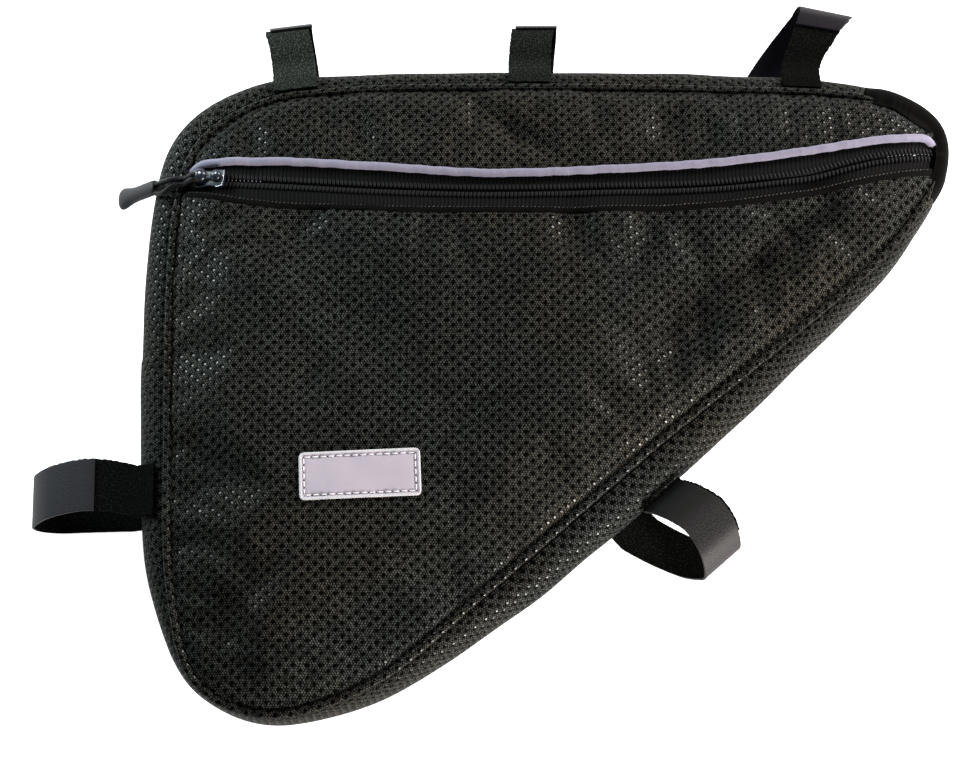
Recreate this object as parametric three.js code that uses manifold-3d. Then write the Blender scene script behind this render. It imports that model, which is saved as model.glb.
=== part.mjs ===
// Bicycle frame bag: a soft three-cornered bag that straps into the front triangle of a bicycle.
// Units are millimetres, +Z up. The bag lies on its back panel, with its zip along the far side.

import * as THREE from 'three';
import { mergeVertices } from 'three/addons/utils/BufferGeometryUtils.js';
import Module from 'manifold-3d';

// Overall sizes: the front seam's width and height, its level above the back, and the bulge past it
const seamWidth = 345;
const seamHeight = 282.5;
const seamLevel = 36;
const tipDrop = 4;
const gussetBulge = 20;

// Cloth and clearances
const panelWall = 1.6;
const gussetWall = 1.6;
const gap = 0.3;
const weltRadius = 1.9;
const weltDrop = 0.6;
const tipProud = 0.8;
const tipBulgeFloor = 5.5;
const tipEdgeRise = 0.6;
const tipDropFrom = 0.7;
const gussetFullness = 0.75;
const rowCrowding = 1.7;

// How far the filled front panel crowns above its seam
const crownRise = 8;
const crownReach = 11;
const puffRise = 4;
const puffReach = 45;
const dentFade = 7;

// Zip
const chainWidth = 6.4;
const chainThickness = 2;
const chainSink = 1.2;
const chainEdgeDrop = 0.4;
const chainGroove = 0.5;
const tapeSink = 2.6;
const tapeThickness = 0.8;
const tapeUnderlap = 4;
const pipingRadius = 1.85;
const pipingSink = 0.4;
const sliderLength = 13.8;
const sliderWidth = 8;
const sliderRise = 1.2;
const sliderPlate = 1;
const sliderSlotSpare = 0.9;
const sliderStart = 4.6;
const bowLength = 8.6;
const bowHeight = 3.5;
const bowRadius = 0.8;
const bowFullness = 0.6;

// Pull
const cordRadius = 0.8;
const cordSpread = 2.1;
const cordLift = 0.35;
const cordSag = 0.9;
const cordInGrip = 0.4;
const gripLength = 27;
const gripWidth = 9.6;
const gripThickness = 4.6;
const gripSlope = 42;
const gripInset = 2.6;
const gripDrop = 3.2;

// Label
const labelWidth = 54;
const labelHeight = 22;
const labelThickness = 1;
const labelTurn = 2.6;
const labelLift = 0.4;
const labelPlace = { across: 0.243, up: 0.352 };

// Straps of hook-and-loop tape
const strapWidth = 20;
const sideStrapWidth = 23;
const loopBandThickness = 1.5;
const hookBandThickness = 1.1;
const strapTopLevel = 27.5;
const strapFloorLevel = 3.2;
const strapSeat = 1.15;
const strapReach = 47;

// Corners of the front seam, clockwise, with the gusset's bulge past each as a share of gussetBulge
const outlineTable = [
  { name: 'left_top', across: 0, up: 0.814, bulge: 0.82 },
  { name: 'left_corner', across: 0.026, up: 0.908, bulge: 0.95 },
  { name: 'top_left', across: 0.103, up: 0.973, bulge: 0.94 },
  { name: 'top_start', across: 0.199, up: 0.993, bulge: 0.8 },
  { name: 'top_middle', across: 0.43, up: 1, bulge: 0.78 },
  { name: 'top_right', across: 0.691, up: 0.996, bulge: 0.79 },
  { name: 'tip_top', across: 0.923, up: 0.981, bulge: 0.64 },
  { name: 'tip', across: 0.993, up: 0.94, bulge: 0.45 },
  { name: 'tip_side', across: 0.997, up: 0.874, bulge: 0.32 },
  { name: 'diagonal_top', across: 0.932, up: 0.747, bulge: 0.45 },
  { name: 'diagonal_upper', across: 0.781, up: 0.581, bulge: 0.68 },
  { name: 'diagonal_middle', across: 0.621, up: 0.423, bulge: 0.96 },
  { name: 'diagonal_low', across: 0.399, up: 0.188, bulge: 0.86 },
  { name: 'bottom_right', across: 0.251, up: 0.042, bulge: 0.42 },
  { name: 'bottom', across: 0.129, up: 0, bulge: 0.25 },
  { name: 'bottom_left', across: 0.048, up: 0.044, bulge: 0.3 },
  { name: 'left_low', across: 0.013, up: 0.173, bulge: 0.65 },
  { name: 'left_middle', across: 0, up: 0.404, bulge: 0.85 },
];

// Heights of the three lines of the zip across the bag, as shares of seamHeight
const zipTable = [
  { across: 0, piping: 0.868, zip: 0.842, edge: 0.824 },
  { across: 0.1, piping: 0.867, zip: 0.833, edge: 0.8 },
  { across: 0.25, piping: 0.857, zip: 0.8215, edge: 0.789 },
  { across: 0.4, piping: 0.845, zip: 0.816, edge: 0.787 },
  { across: 0.55, piping: 0.851, zip: 0.8195, edge: 0.788 },
  { across: 0.7, piping: 0.863, zip: 0.826, edge: 0.7965 },
  { across: 0.82, piping: 0.884, zip: 0.845, edge: 0.82 },
  { across: 0.92, piping: 0.907, zip: 0.877, edge: 0.848 },
  { across: 1, piping: 0.921, zip: 0.896, edge: 0.87 },
];

// Dents and ridges in the front: place as shares, length and width as shares of seamHeight,
// turn in degrees and depth as a share of crownRise, with a ridge below zero
const dentTable = [
  { name: 'upper_streak', across: 0.435, up: 0.914, length: 0.07, width: 0.018, turn: -30, depth: 0.42 },
  { name: 'upper_tick', across: 0.64, up: 0.928, length: 0.032, width: 0.018, turn: 63, depth: 0.25 },
  { name: 'upper_left', across: 0.316, up: 0.941, length: 0.035, width: 0.028, turn: 0, depth: 0.16 },
  { name: 'corner_fold', across: 0.088, up: 0.906, length: 0.042, width: 0.018, turn: -80, depth: 0.2 },
  { name: 'lower_tick', across: 0.604, up: 0.724, length: 0.042, width: 0.021, turn: 63, depth: 0.25 },
  { name: 'tip_hollow', across: 0.818, up: 0.777, length: 0.05, width: 0.03, turn: 51, depth: 0.45 },
  { name: 'valley_high', across: 0.807, up: 0.722, length: 0.078, width: 0.025, turn: 32, depth: 0.33 },
  { name: 'valley_middle', across: 0.683, up: 0.658, length: 0.092, width: 0.032, turn: 38, depth: 0.5 },
  { name: 'valley_low', across: 0.619, up: 0.581, length: 0.07, width: 0.042, turn: 42, depth: 0.25 },
  { name: 'middle_dip', across: 0.515, up: 0.742, length: 0.042, width: 0.032, turn: 80, depth: 0.22 },
  { name: 'left_dip', across: 0.158, up: 0.737, length: 0.078, width: 0.042, turn: -25, depth: 0.25 },
  { name: 'centre_dip', across: 0.245, up: 0.581, length: 0.088, width: 0.064, turn: -40, depth: 0.18 },
  { name: 'low_dip', across: 0.372, up: 0.452, length: 0.064, width: 0.035, turn: 10, depth: 0.15 },
  { name: 'left_ridge', across: 0.112, up: 0.69, length: 0.099, width: 0.032, turn: -36, depth: -0.22 },
  { name: 'centre_ridge', across: 0.462, up: 0.646, length: 0.106, width: 0.05, turn: 35, depth: -0.2 },
];

// Straps: where the middle of each meets the seam, how far its loop reaches past the gusset as a
// share of strapReach, and as shares of its width how far the loop leans along the edge at its end
// and how far its lower strand lies beside the upper
const strapTable = [
  { name: 'top_left', across: 0.141, up: 0.985, width: strapWidth, reach: 0.553, lean: 0, drift: -0.1 },
  { name: 'top_middle', across: 0.46, up: 1, width: strapWidth, reach: 0.553, lean: 0.15, drift: 0.15 },
  { name: 'top_right', across: 0.823, up: 0.99, width: strapWidth, reach: 0.723, lean: 0.7, drift: -0.75 },
  { name: 'side', across: 0, up: 0.36, width: sideStrapWidth, reach: 1, lean: -0.17, drift: -0.3 },
  { name: 'lower', across: 0.589, up: 0.387, width: strapWidth, reach: 0.766, lean: -0.2, drift: 0.75 },
];

// Where each end of a strap is sewn on the gusset, in degrees round it from the front seam, and the
// shares of the loop over which its lower strand drifts to the side
const strapSewn = { front: [26, 42], back: [142, 156] };
const strapDriftSpan = { from: 0.3, over: 0.5 };

// Closing of each strap, as shares of its route: where the hook band's end lies on the loop band,
// and where the loop band ends under it
const closingTable = {
  top_left: { hookFrom: 0.4, loopTo: 0.52 },
  top_middle: { hookFrom: 0.4, loopTo: 0.52 },
  top_right: { hookFrom: 0.34, loopTo: 0.5 },
  side: { hookFrom: 0.3, loopTo: 0.46 },
  lower: { hookFrom: 0.17, loopTo: 0.42 },
};

// Route of a strap's loop: out as a share of its reach, level as a share from floor to top
const strapRoute = [
  { name: 'leaving', out: 0.16, level: 1 },
  { name: 'top', out: 0.5, level: 0.98 },
  { name: 'shoulder', out: 0.84, level: 0.84 },
  { name: 'end', out: 1, level: 0.46 },
  { name: 'under', out: 0.86, level: 0.12 },
  { name: 'floor', out: 0.5, level: 0 },
  { name: 'returning', out: 0.16, level: 0.04 },
];

// Grip: width and thickness along its length, as shares of its largest
const gripTable = [
  { along: 0, width: 0.44, thickness: 0.78 },
  { along: 0.35, width: 0.56, thickness: 0.87 },
  { along: 0.7, width: 0.83, thickness: 0.96 },
  { along: 0.94, width: 1, thickness: 1 },
  { along: 1, width: 0.92, thickness: 0.83 },
];
const gripCorner = 0.3;

// Ends of the smooth stretch of gusset round the tip, as places on the seam
const tipSpan = { from: { across: 0.91, up: 0.983 }, to: { across: 0.985, up: 0.83 } };

// Fineness: how close merged corners are, and the steps along tapes, piping, cord, label and straps
const mergeDistance = 1e-3;
const tapeSteps = 26;
const pipingSteps = 34;
const cordSteps = 36;
const bowSteps = 8;
const strapSteps = 26;
const gussetSteps = 6;
const labelSteps = { along: 8, across: 4 };
const tubeSides = 6;
const pipingSides = 8;

const wasm = await Module();
wasm.setup();

const { lerp, clamp, degToRad } = THREE.MathUtils;

// Turns loose corners and faces into one closed body whose faces point out
function closedBody(positions, faces) {
  const rough = new THREE.BufferGeometry();
  rough.setAttribute('position', new THREE.Float32BufferAttribute(positions, 3));
  rough.setIndex(faces.flat());
  const merged = mergeVertices(rough, mergeDistance);
  const index = merged.getIndex().array;
  const spot = merged.getAttribute('position');
  const corners = [new THREE.Vector3(), new THREE.Vector3(), new THREE.Vector3()];
  const kept = [];
  let volume = 0;
  for (let i = 0; i < index.length; i += 3) {
    const [a, b, c] = [index[i], index[i + 1], index[i + 2]];
    if (a === b || b === c || c === a) continue;
    kept.push(a, b, c);
    corners.forEach((corner, k) => corner.fromBufferAttribute(spot, index[i + k]));
    volume += corners[0].dot(corners[1].clone().cross(corners[2])) / 6;
  }
  merged.setIndex(volume < 0 ? kept.reverse() : kept);
  merged.computeVertexNormals();
  return merged;
}

// Skins a row of sections that all have the same even number of corners
function loft(sections, ring = false) {
  const count = sections[0].length;
  const positions = sections.flat().flatMap((corner) => corner.toArray());
  const faces = [];
  const bands = ring ? sections.length : sections.length - 1;
  for (let i = 0; i < bands; i += 1) {
    const here = i * count;
    const next = ((i + 1) % sections.length) * count;
    for (let k = 0; k < count; k += 1) {
      const side = (k + 1) % count;
      faces.push([here + k, here + side, next + side]);
      faces.push([here + k, next + side, next + k]);
    }
  }
  if (!ring) {
    const last = (sections.length - 1) * count;
    for (let k = 0; k < count / 2 - 1; k += 1) {
      const far = count - 1 - k;
      faces.push([far, far - 1, k + 1], [far, k + 1, k]);
      faces.push([last + k, last + k + 1, last + far - 1], [last + k, last + far - 1, last + far]);
    }
  }
  return closedBody(positions, faces);
}

// Round tube along a path of points
function tube(path, radius, sides, ring = false) {
  const upward = new THREE.Vector3(0, 0, 1);
  const sections = path.map((spot, i) => {
    const before = ring ? path.at(i - 1) : path[Math.max(i - 1, 0)];
    const after = ring ? path[(i + 1) % path.length] : path[Math.min(i + 1, path.length - 1)];
    const along = after.clone().sub(before).normalize();
    const side = along.clone().cross(upward).normalize();
    const top = side.clone().cross(along);
    return Array.from({ length: sides }, (_, k) => {
      const turn = (2 * Math.PI * (k + 0.5)) / sides;
      return spot.clone()
        .addScaledVector(side, radius * Math.cos(turn))
        .addScaledVector(top, radius * Math.sin(turn));
    });
  });
  return loft(sections, ring);
}

// Joins two closed bodies into one
function fuse(first, second) {
  const [a, b] = [first, second].map((geometry) => {
    const bare = geometry.clone();
    bare.deleteAttribute('normal');
    bare.deleteAttribute('uv');
    const merged = mergeVertices(bare, mergeDistance);
    return new wasm.Manifold(new wasm.Mesh({
      numProp: 3,
      vertProperties: new Float32Array(merged.getAttribute('position').array),
      triVerts: new Uint32Array(merged.getIndex().array),
    }));
  });
  const joined = a.add(b).getMesh();
  const geometry = new THREE.BufferGeometry();
  geometry.setAttribute('position', new THREE.BufferAttribute(joined.vertProperties, 3));
  geometry.setIndex(new THREE.BufferAttribute(joined.triVerts, 1));
  geometry.computeVertexNormals();
  return geometry;
}

// Stations along the front seam, closer together where it turns
const stationSpacing = 16;
const stationTurn = degToRad(26);
const seamCurve = new THREE.CatmullRomCurve3(
  outlineTable.map((row) => new THREE.Vector3(
    row.across * seamWidth,
    row.up * seamHeight,
    row.bulge * gussetBulge,
  )),
  true,
  'centripetal',
);

function placeStations() {
  const fineSteps = 1440;
  const directionAt = (step) => {
    const t = (step / fineSteps + 1) % 1;
    const tangent = seamCurve.getTangent(t);
    return new THREE.Vector3(tangent.x, tangent.y, 0).normalize();
  };
  const weights = [0];
  for (let step = 1; step <= fineSteps; step += 1) {
    const from = seamCurve.getPoint((step - 1) / fineSteps);
    const to = seamCurve.getPoint(step / fineSteps);
    const distance = Math.hypot(to.x - from.x, to.y - from.y);
    const turn = directionAt(step - 1).angleTo(directionAt(step));
    weights.push(weights.at(-1) + distance / stationSpacing + turn / stationTurn);
  }
  const total = Math.round(weights.at(-1));
  const stations = [];
  for (let step = 0; step < fineSteps && stations.length < total; step += 1) {
    if (weights[step] < (stations.length * weights.at(-1)) / total) continue;
    const spot = seamCurve.getPoint(step / fineSteps);
    const along = directionAt(step);
    stations.push({
      point: new THREE.Vector3(spot.x, spot.y, 0),
      along,
      out: new THREE.Vector3(-along.y, along.x, 0),
      bulge: spot.z,
    });
  }
  return stations;
}

const stations = placeStations();

// Distance from a point to the front seam, above zero inside it
function insideSeam(x, y) {
  let nearest = Infinity;
  let crossings = 0;
  stations.forEach((station, i) => {
    const a = station.point;
    const b = stations[(i + 1) % stations.length].point;
    const share = clamp(
      ((x - a.x) * (b.x - a.x) + (y - a.y) * (b.y - a.y)) / a.distanceToSquared(b), 0, 1);
    nearest = Math.min(nearest, Math.hypot(x - lerp(a.x, b.x, share), y - lerp(a.y, b.y, share)));
    if ((a.y > y) !== (b.y > y) && x < a.x + ((b.x - a.x) * (y - a.y)) / (b.y - a.y)) crossings += 1;
  });
  return crossings % 2 === 1 ? nearest : -nearest;
}

// Level of the front seam, which drops a little towards the narrow tip
function levelAt(x) {
  const share = clamp((x / seamWidth - tipDropFrom) / (1 - tipDropFrom), 0, 1);
  return seamLevel - tipDrop * share * share;
}

function dentDepth(x, y) {
  return dentTable.reduce((sum, dent) => {
    const turn = degToRad(dent.turn);
    const dx = x - dent.across * seamWidth;
    const dy = y - dent.up * seamHeight;
    const along = (dx * Math.cos(turn) + dy * Math.sin(turn)) / (dent.length * seamHeight);
    const beside = (dy * Math.cos(turn) - dx * Math.sin(turn)) / (dent.width * seamHeight);
    return sum + dent.depth * crownRise * Math.exp(-along * along - beside * beside);
  }, 0);
}

// Height of the filled front at a point
function frontHeight(x, y) {
  const inside = Math.max(insideSeam(x, y), 0);
  const crown = crownRise * (1 - Math.exp(-inside / crownReach));
  const puff = puffRise * (1 - Math.exp(-inside / puffReach));
  const fade = 1 - Math.exp(-inside / dentFade);
  return levelAt(x) + crown + puff - fade * dentDepth(x, y);
}

// Smooth curve through one column of the zip table
function zipLine(column, shift = 0) {
  const spots = zipTable.map((row) => [row.across * seamWidth, row[column] * seamHeight]);
  const slope = (i) => {
    const [before, after] = [spots[Math.max(i - 1, 0)], spots[Math.min(i + 1, spots.length - 1)]];
    return (after[1] - before[1]) / (after[0] - before[0]);
  };
  return (x) => {
    const found = spots.findIndex((spot) => spot[0] > x) - 1;
    const i = found === -2 ? spots.length - 2 : Math.max(found, 0);
    const span = spots[i + 1][0] - spots[i][0];
    const t = (x - spots[i][0]) / span;
    const bend = t * t * (3 - 2 * t);
    return shift + lerp(spots[i][1], spots[i + 1][1], bend)
      + span * t * (1 - t) * (slope(i) * (1 - t) - slope(i + 1) * t);
  };
}

// Where a line across the bag comes within a clearance of the seam, on the left and on the right
function endsInside(line, clearance) {
  const halvings = 40;
  return [-1, 1].map((side) => {
    let near = seamWidth / 2;
    let far = near + side * seamWidth;
    for (let i = 0; i < halvings; i += 1) {
      const middle = (near + far) / 2;
      if (insideSeam(middle, line(middle)) > clearance) near = middle;
      else far = middle;
    }
    return near;
  });
}

// Cloth or tape whose rows run across the bag, each a line with its lift from the front's surface
function strip(rows, thickness, start = -Infinity) {
  const clearance = 2 * gap;
  const ends = rows.map((row) => endsInside(row.line, clearance));
  const sections = [];
  for (let i = 0; i <= tapeSteps; i += 1) {
    const top = rows.map((row, j) => {
      const x = lerp(Math.max(ends[j][0], start), ends[j][1], i / tapeSteps);
      return new THREE.Vector3(x, row.line(x), frontHeight(x, row.line(x)) + row.lift);
    });
    const floor = Math.min(...rows.map((row) => row.lift));
    const bottom = top.map((corner, j) => {
      const base = corner.clone();
      base.z += floor - rows[j].lift - thickness;
      return base;
    });
    sections.push([...top, ...bottom.reverse()]);
  }
  return loft(sections);
}

// Points just inside the seam on one side of a line, from its left end to its right end
function seamRun(line, side) {
  const shortestStep = 3;
  const spots = stations.map((station) => station.point.clone().addScaledVector(station.out, -gap));
  const picked = spots.map((spot) => side * (spot.y - line(spot.x)) > shortestStep);
  const first = picked.findIndex((here, i) => here && !picked.at(i - 1));
  const run = [];
  for (let i = 0; picked[(first + i) % spots.length] && i < spots.length; i += 1) {
    run.push(spots[(first + i) % spots.length]);
  }
  if (side < 0) run.reverse();
  const [left, right] = endsInside(line, gap);
  return [
    new THREE.Vector3(left, line(left), 0),
    ...run,
    new THREE.Vector3(right, line(right), 0),
  ];
}

// Panel between a line of the zip and the seam, with its rows closer together near the seam
function panel(line, side, rowCount, follow) {
  const run = seamRun(line, side);
  const left = run[0].x;
  const right = run.at(-1).x;
  const lengths = run.map((spot, i) => (i ? spot.distanceTo(run[i - 1]) : 0));
  const total = lengths.reduce((sum, length) => sum + length, 0);
  let walked = 0;
  const sections = run.map((spot, i) => {
    walked += lengths[i];
    const x = follow ? clamp(spot.x, left, right) : lerp(left, right, walked / total);
    const top = Array.from({ length: rowCount + 1 }, (_, j) => {
      const share = 1 - (1 - j / rowCount) ** rowCrowding;
      const px = lerp(x, spot.x, share);
      const py = lerp(line(x), spot.y, share);
      return new THREE.Vector3(px, py, frontHeight(px, py));
    });
    const bottom = top.map((corner) => corner.clone().setZ(corner.z - panelWall));
    return [...top, ...bottom.reverse()];
  });
  return loft(sections);
}

// Places that the seam pieces share
const weltOut = weltRadius + gap;
const backWeltLevel = weltRadius + gap;
const gussetBack = backWeltLevel + weltRadius + gap;

// Point on the outside of the gusset, with turn from 0 at the front to PI at the back
function gussetPoint(station, turn, start, proud = 0) {
  const front = levelAt(station.point.x) - start.drop;
  const reach = Math.max(station.bulge, tipBulgeFloor) + proud - start.out;
  const out = start.out + reach * Math.sin(turn) ** gussetFullness;
  const level = lerp(front, gussetBack, (1 - Math.cos(turn)) / 2);
  return { out, level };
}

function gussetSection(station, start, proud = 0) {
  const nudge = 0.01;
  const place = ({ out, level }) => station.point.clone()
    .addScaledVector(station.out, out).setZ(level);
  const outer = [];
  const inner = [];
  for (let i = 0; i <= gussetSteps; i += 1) {
    const turn = (Math.PI * i) / gussetSteps;
    const spot = gussetPoint(station, turn, start, proud);
    const before = gussetPoint(station, Math.max(turn - nudge, 0), start, proud);
    const after = gussetPoint(station, Math.min(turn + nudge, Math.PI), start, proud);
    const run = Math.hypot(after.out - before.out, after.level - before.level);
    outer.push(place(spot));
    inner.push(place({
      out: spot.out + (gussetWall * (after.level - before.level)) / run,
      level: spot.level - (gussetWall * (after.out - before.out)) / run,
    }));
  }
  return [...outer, ...inner.reverse()];
}

function stationNear({ across, up }) {
  const spot = new THREE.Vector3(across * seamWidth, up * seamHeight, 0);
  const distances = stations.map((station) => station.point.distanceTo(spot));
  return distances.indexOf(Math.min(...distances));
}

// Place on the straight run of seam that passes nearest to a point
function seamPlace(across, up) {
  const spot = new THREE.Vector3(across * seamWidth, up * seamHeight, 0);
  const runs = stations.map((a, i) => {
    const b = stations[(i + 1) % stations.length];
    const line = new THREE.Line3(a.point, b.point);
    const share = line.closestPointToPointParameter(spot, true);
    const point = line.at(share, new THREE.Vector3());
    const along = b.point.clone().sub(a.point).normalize();
    return {
      point,
      along,
      out: new THREE.Vector3(-along.y, along.x, 0),
      bulge: lerp(a.bulge, b.bulge, share),
      distance: point.distanceTo(spot),
    };
  });
  return runs.reduce((best, run) => (run.distance < best.distance ? run : best));
}

// The smooth tip piece runs between two places on the seam, and the rest is fabric
const tipStart = stationNear(tipSpan.from);
const tipEnd = stationNear(tipSpan.to);
const shifted = (station, by) => ({
  ...station,
  point: station.point.clone().addScaledVector(station.along, by),
});
const tipStations = stations.slice(tipStart, tipEnd + 1);
tipStations[0] = shifted(tipStations[0], gap);
tipStations[tipStations.length - 1] = shifted(tipStations.at(-1), -gap);
const fabricStations = [...stations.slice(tipEnd), ...stations.slice(0, tipStart + 1)];

const fabricStart = { out: weltOut, drop: weltDrop + weltRadius + gap };
const tipStartEdge = { out: gap, drop: -tipEdgeRise };

const gussetGeometry = loft(fabricStations.map((station) => gussetSection(station, fabricStart)));
const tipGeometry = loft(tipStations.map((station) => gussetSection(station, tipStartEdge, tipProud)));

const weltPath = (list, level) => list.map((station) => station.point.clone()
  .addScaledVector(station.out, weltOut).setZ(level(station)));
const frontWeltGeometry = tube(
  weltPath(fabricStations, (station) => levelAt(station.point.x) - weltDrop), weltRadius, tubeSides);
const backWeltGeometry = tube(weltPath(stations, () => backWeltLevel), weltRadius, tubeSides, true);

// Back panel: a flat sheet just inside its welt
const backShape = new THREE.Shape(stations.map((station) => {
  const spot = station.point.clone().addScaledVector(station.out, -gap);
  return new THREE.Vector2(spot.x, spot.y);
}));
const backGeometry = new THREE.ExtrudeGeometry(backShape, { depth: panelWall, bevelEnabled: false });

// Front panels, tapes, coil and piping all lie on one surface
const edgeLine = zipLine('edge');
const upperEdgeLine = zipLine('piping', pipingRadius + gap);
const lowerGeometry = panel(edgeLine, -1, 8, false);
const upperGeometry = panel(upperEdgeLine, 1, 4, true);

const chainSide = chainWidth / 2;
const upperTapeGeometry = strip([
  { line: zipLine('zip', chainSide + gap), lift: -tapeSink },
  { line: zipLine('piping', tapeUnderlap), lift: -tapeSink },
], tapeThickness);
const lowerTapeGeometry = strip([
  { line: zipLine('edge', -tapeUnderlap), lift: -tapeSink },
  { line: zipLine('zip', -chainSide - gap), lift: -tapeSink },
], tapeThickness);

const sliderX = endsInside(zipLine('zip'), 0)[0] + sliderStart + sliderLength / 2;
const chainStart = sliderX + sliderLength / 2 + gap;
const chainGeometry = strip([
  { line: zipLine('zip', -chainSide), lift: -chainSink - chainEdgeDrop },
  { line: zipLine('zip', -chainSide / 4), lift: -chainSink },
  { line: zipLine('zip'), lift: -chainSink - chainGroove },
  { line: zipLine('zip', chainSide / 4), lift: -chainSink },
  { line: zipLine('zip', chainSide), lift: -chainSink - chainEdgeDrop },
], chainThickness - chainGroove, chainStart);

const pipingLine = zipLine('piping');
const [pipingLeft, pipingRight] = endsInside(pipingLine, pipingRadius + gap);
const pipingPath = Array.from({ length: pipingSteps + 1 }, (_, i) => {
  const x = lerp(pipingLeft, pipingRight, (1 - Math.cos((Math.PI * i) / pipingSteps)) / 2);
  return new THREE.Vector3(x, pipingLine(x), frontHeight(x, pipingLine(x)) - pipingSink);
});
const pipingGeometry = tube(pipingPath, pipingRadius, pipingSides);

// Slider: a waisted body with a bow on top, in its own frame with the chain along X
function sliderShape() {
  const half = sliderLength / 2;
  const side = sliderWidth / 2;
  const shape = new THREE.Shape();
  shape.moveTo(-half, -side * 0.6);
  shape.quadraticCurveTo(-half, -side, -half * 0.6, -side);
  shape.quadraticCurveTo(0, -side * 0.62, half * 0.6, -side);
  shape.lineTo(half, -side * 0.9);
  shape.lineTo(half, side * 0.9);
  shape.lineTo(half * 0.6, side);
  shape.quadraticCurveTo(0, side * 0.62, -half * 0.6, side);
  shape.quadraticCurveTo(-half, side, -half, side * 0.6);
  return shape;
}
function sliderLayer(top, bottom, bevel) {
  const layer = new THREE.ExtrudeGeometry(sliderShape(), {
    depth: top - bottom - 2 * bevel,
    bevelThickness: bevel,
    bevelSize: bevel,
    bevelOffset: -bevel,
    bevelSegments: 1,
    curveSegments: 3,
  });
  return layer.translate(0, 0, bottom + bevel);
}
const slotTop = gap - tapeSink;
const slotFloor = -tapeSink - tapeThickness - sliderSlotSpare;
const topPlate = sliderLayer(sliderRise, slotTop, 0.5);
const lowerPlate = sliderLayer(slotFloor, slotFloor - sliderPlate, 0.25);
const core = new THREE.BoxGeometry(sliderLength * 0.7, chainWidth - 1, slotTop - slotFloor + 1);
core.translate(0, 0, (slotTop + slotFloor) / 2);
const bowRise = bowHeight - bowRadius;
const bowPath = Array.from({ length: bowSteps + 1 }, (_, i) => {
  const turn = (Math.PI * i) / bowSteps;
  const level = sliderRise + (i % bowSteps === 0 ? -1 : bowRise * Math.sin(turn) ** bowFullness);
  return new THREE.Vector3((-bowLength / 2) * Math.cos(turn), 0, level);
});
const sliderGeometry = [core, lowerPlate, tube(bowPath, bowRadius, tubeSides)].reduce(fuse, topPlate);

// Slider's place: on the zip line, pitched with the rise of the front
const zipCentre = zipLine('zip');
const sliderY = zipCentre(sliderX);
const sliderEnds = [-1, 1].map((side) => {
  const x = sliderX + (side * sliderLength) / 2;
  return new THREE.Vector3(x, zipCentre(x), frontHeight(x, zipCentre(x)));
});
const sliderRun = sliderEnds[1].clone().sub(sliderEnds[0]);
const sliderTurn = Math.atan2(sliderRun.y, sliderRun.x);
const sliderPitch = -Math.atan2(sliderRun.z, sliderRun.x);
const sliderLevel = frontHeight(sliderX, sliderY);
const sliderTop = sliderLevel + sliderRise;

// Pull: the grip hangs over the bag's left edge, sloping down and away
const sideStation = stations[stationNear({ across: 0, up: sliderY / seamHeight })];
const gripTopX = sideStation.point.x - sideStation.bulge + gripInset;
const gripTopLevel = levelAt(0) - gripDrop;
const slope = degToRad(gripSlope);
const gripSections = gripTable.map((row) => {
  const middle = new THREE.Vector3(
    gripTopX - row.along * gripLength * Math.cos(slope),
    sliderY,
    gripTopLevel - row.along * gripLength * Math.sin(slope),
  );
  const across = new THREE.Vector3(0, 1, 0);
  const over = new THREE.Vector3(-Math.sin(slope), 0, Math.cos(slope));
  const [w, t] = [row.width * gripWidth / 2, row.thickness * gripThickness / 2];
  const corner = 2 * t * gripCorner;
  const corners = [
    [w, t - corner], [w - corner, t], [-w + corner, t], [-w, t - corner],
    [-w, -t + corner], [-w + corner, -t], [w - corner, -t], [w, -t + corner],
  ];
  return corners.map(([a, b]) => middle.clone().addScaledVector(across, a).addScaledVector(over, b));
});
const gripGeometry = loft(gripSections);

// Cord: one strand passes under the bow and both ends run to the grip, over the welt
const bowUnder = sliderTop + cordRadius + cordLift;
const overWelt = levelAt(0) + weltRadius - weltDrop + cordRadius + gap + cordSag;
const weltX = sideStation.point.x - weltOut;
const cordEnd = { x: gripTopX + cordInGrip, level: gripTopLevel + cordInGrip };
const midway = { x: (cordEnd.x + weltX) / 2, level: (cordEnd.level + overWelt) / 2 + cordSag };
const sliderEnd = sliderX - sliderLength / 2;
const bowSide = sliderX - 1.5 * cordRadius;
const bowInner = sliderX + cordRadius;
const cordTable = [
  { name: 'grip_upper', x: cordEnd.x, beside: 0.55, z: cordEnd.level },
  { name: 'edge_upper', x: midway.x, beside: 0.71, z: midway.level },
  { name: 'welt_upper', x: weltX, beside: 0.76, z: overWelt },
  { name: 'slider_upper', x: sliderEnd, beside: 0.9, z: bowUnder + cordLift },
  { name: 'bow_upper', x: bowSide, beside: 1, z: bowUnder },
  { name: 'bow', x: bowInner, beside: 0, z: bowUnder },
  { name: 'bow_lower', x: bowSide, beside: -1, z: bowUnder },
  { name: 'slider_lower', x: sliderEnd, beside: -0.9, z: bowUnder + cordLift },
  { name: 'welt_lower', x: weltX, beside: -0.76, z: overWelt },
  { name: 'edge_lower', x: midway.x, beside: -0.71, z: midway.level },
  { name: 'grip_lower', x: cordEnd.x, beside: -0.55, z: cordEnd.level },
];
const cordCurve = new THREE.CatmullRomCurve3(cordTable.map((row) => new THREE.Vector3(
  row.x, sliderY + row.beside * cordSpread, row.z)));
const cordGeometry = tube(cordCurve.getPoints(cordSteps), cordRadius, tubeSides);

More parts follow.
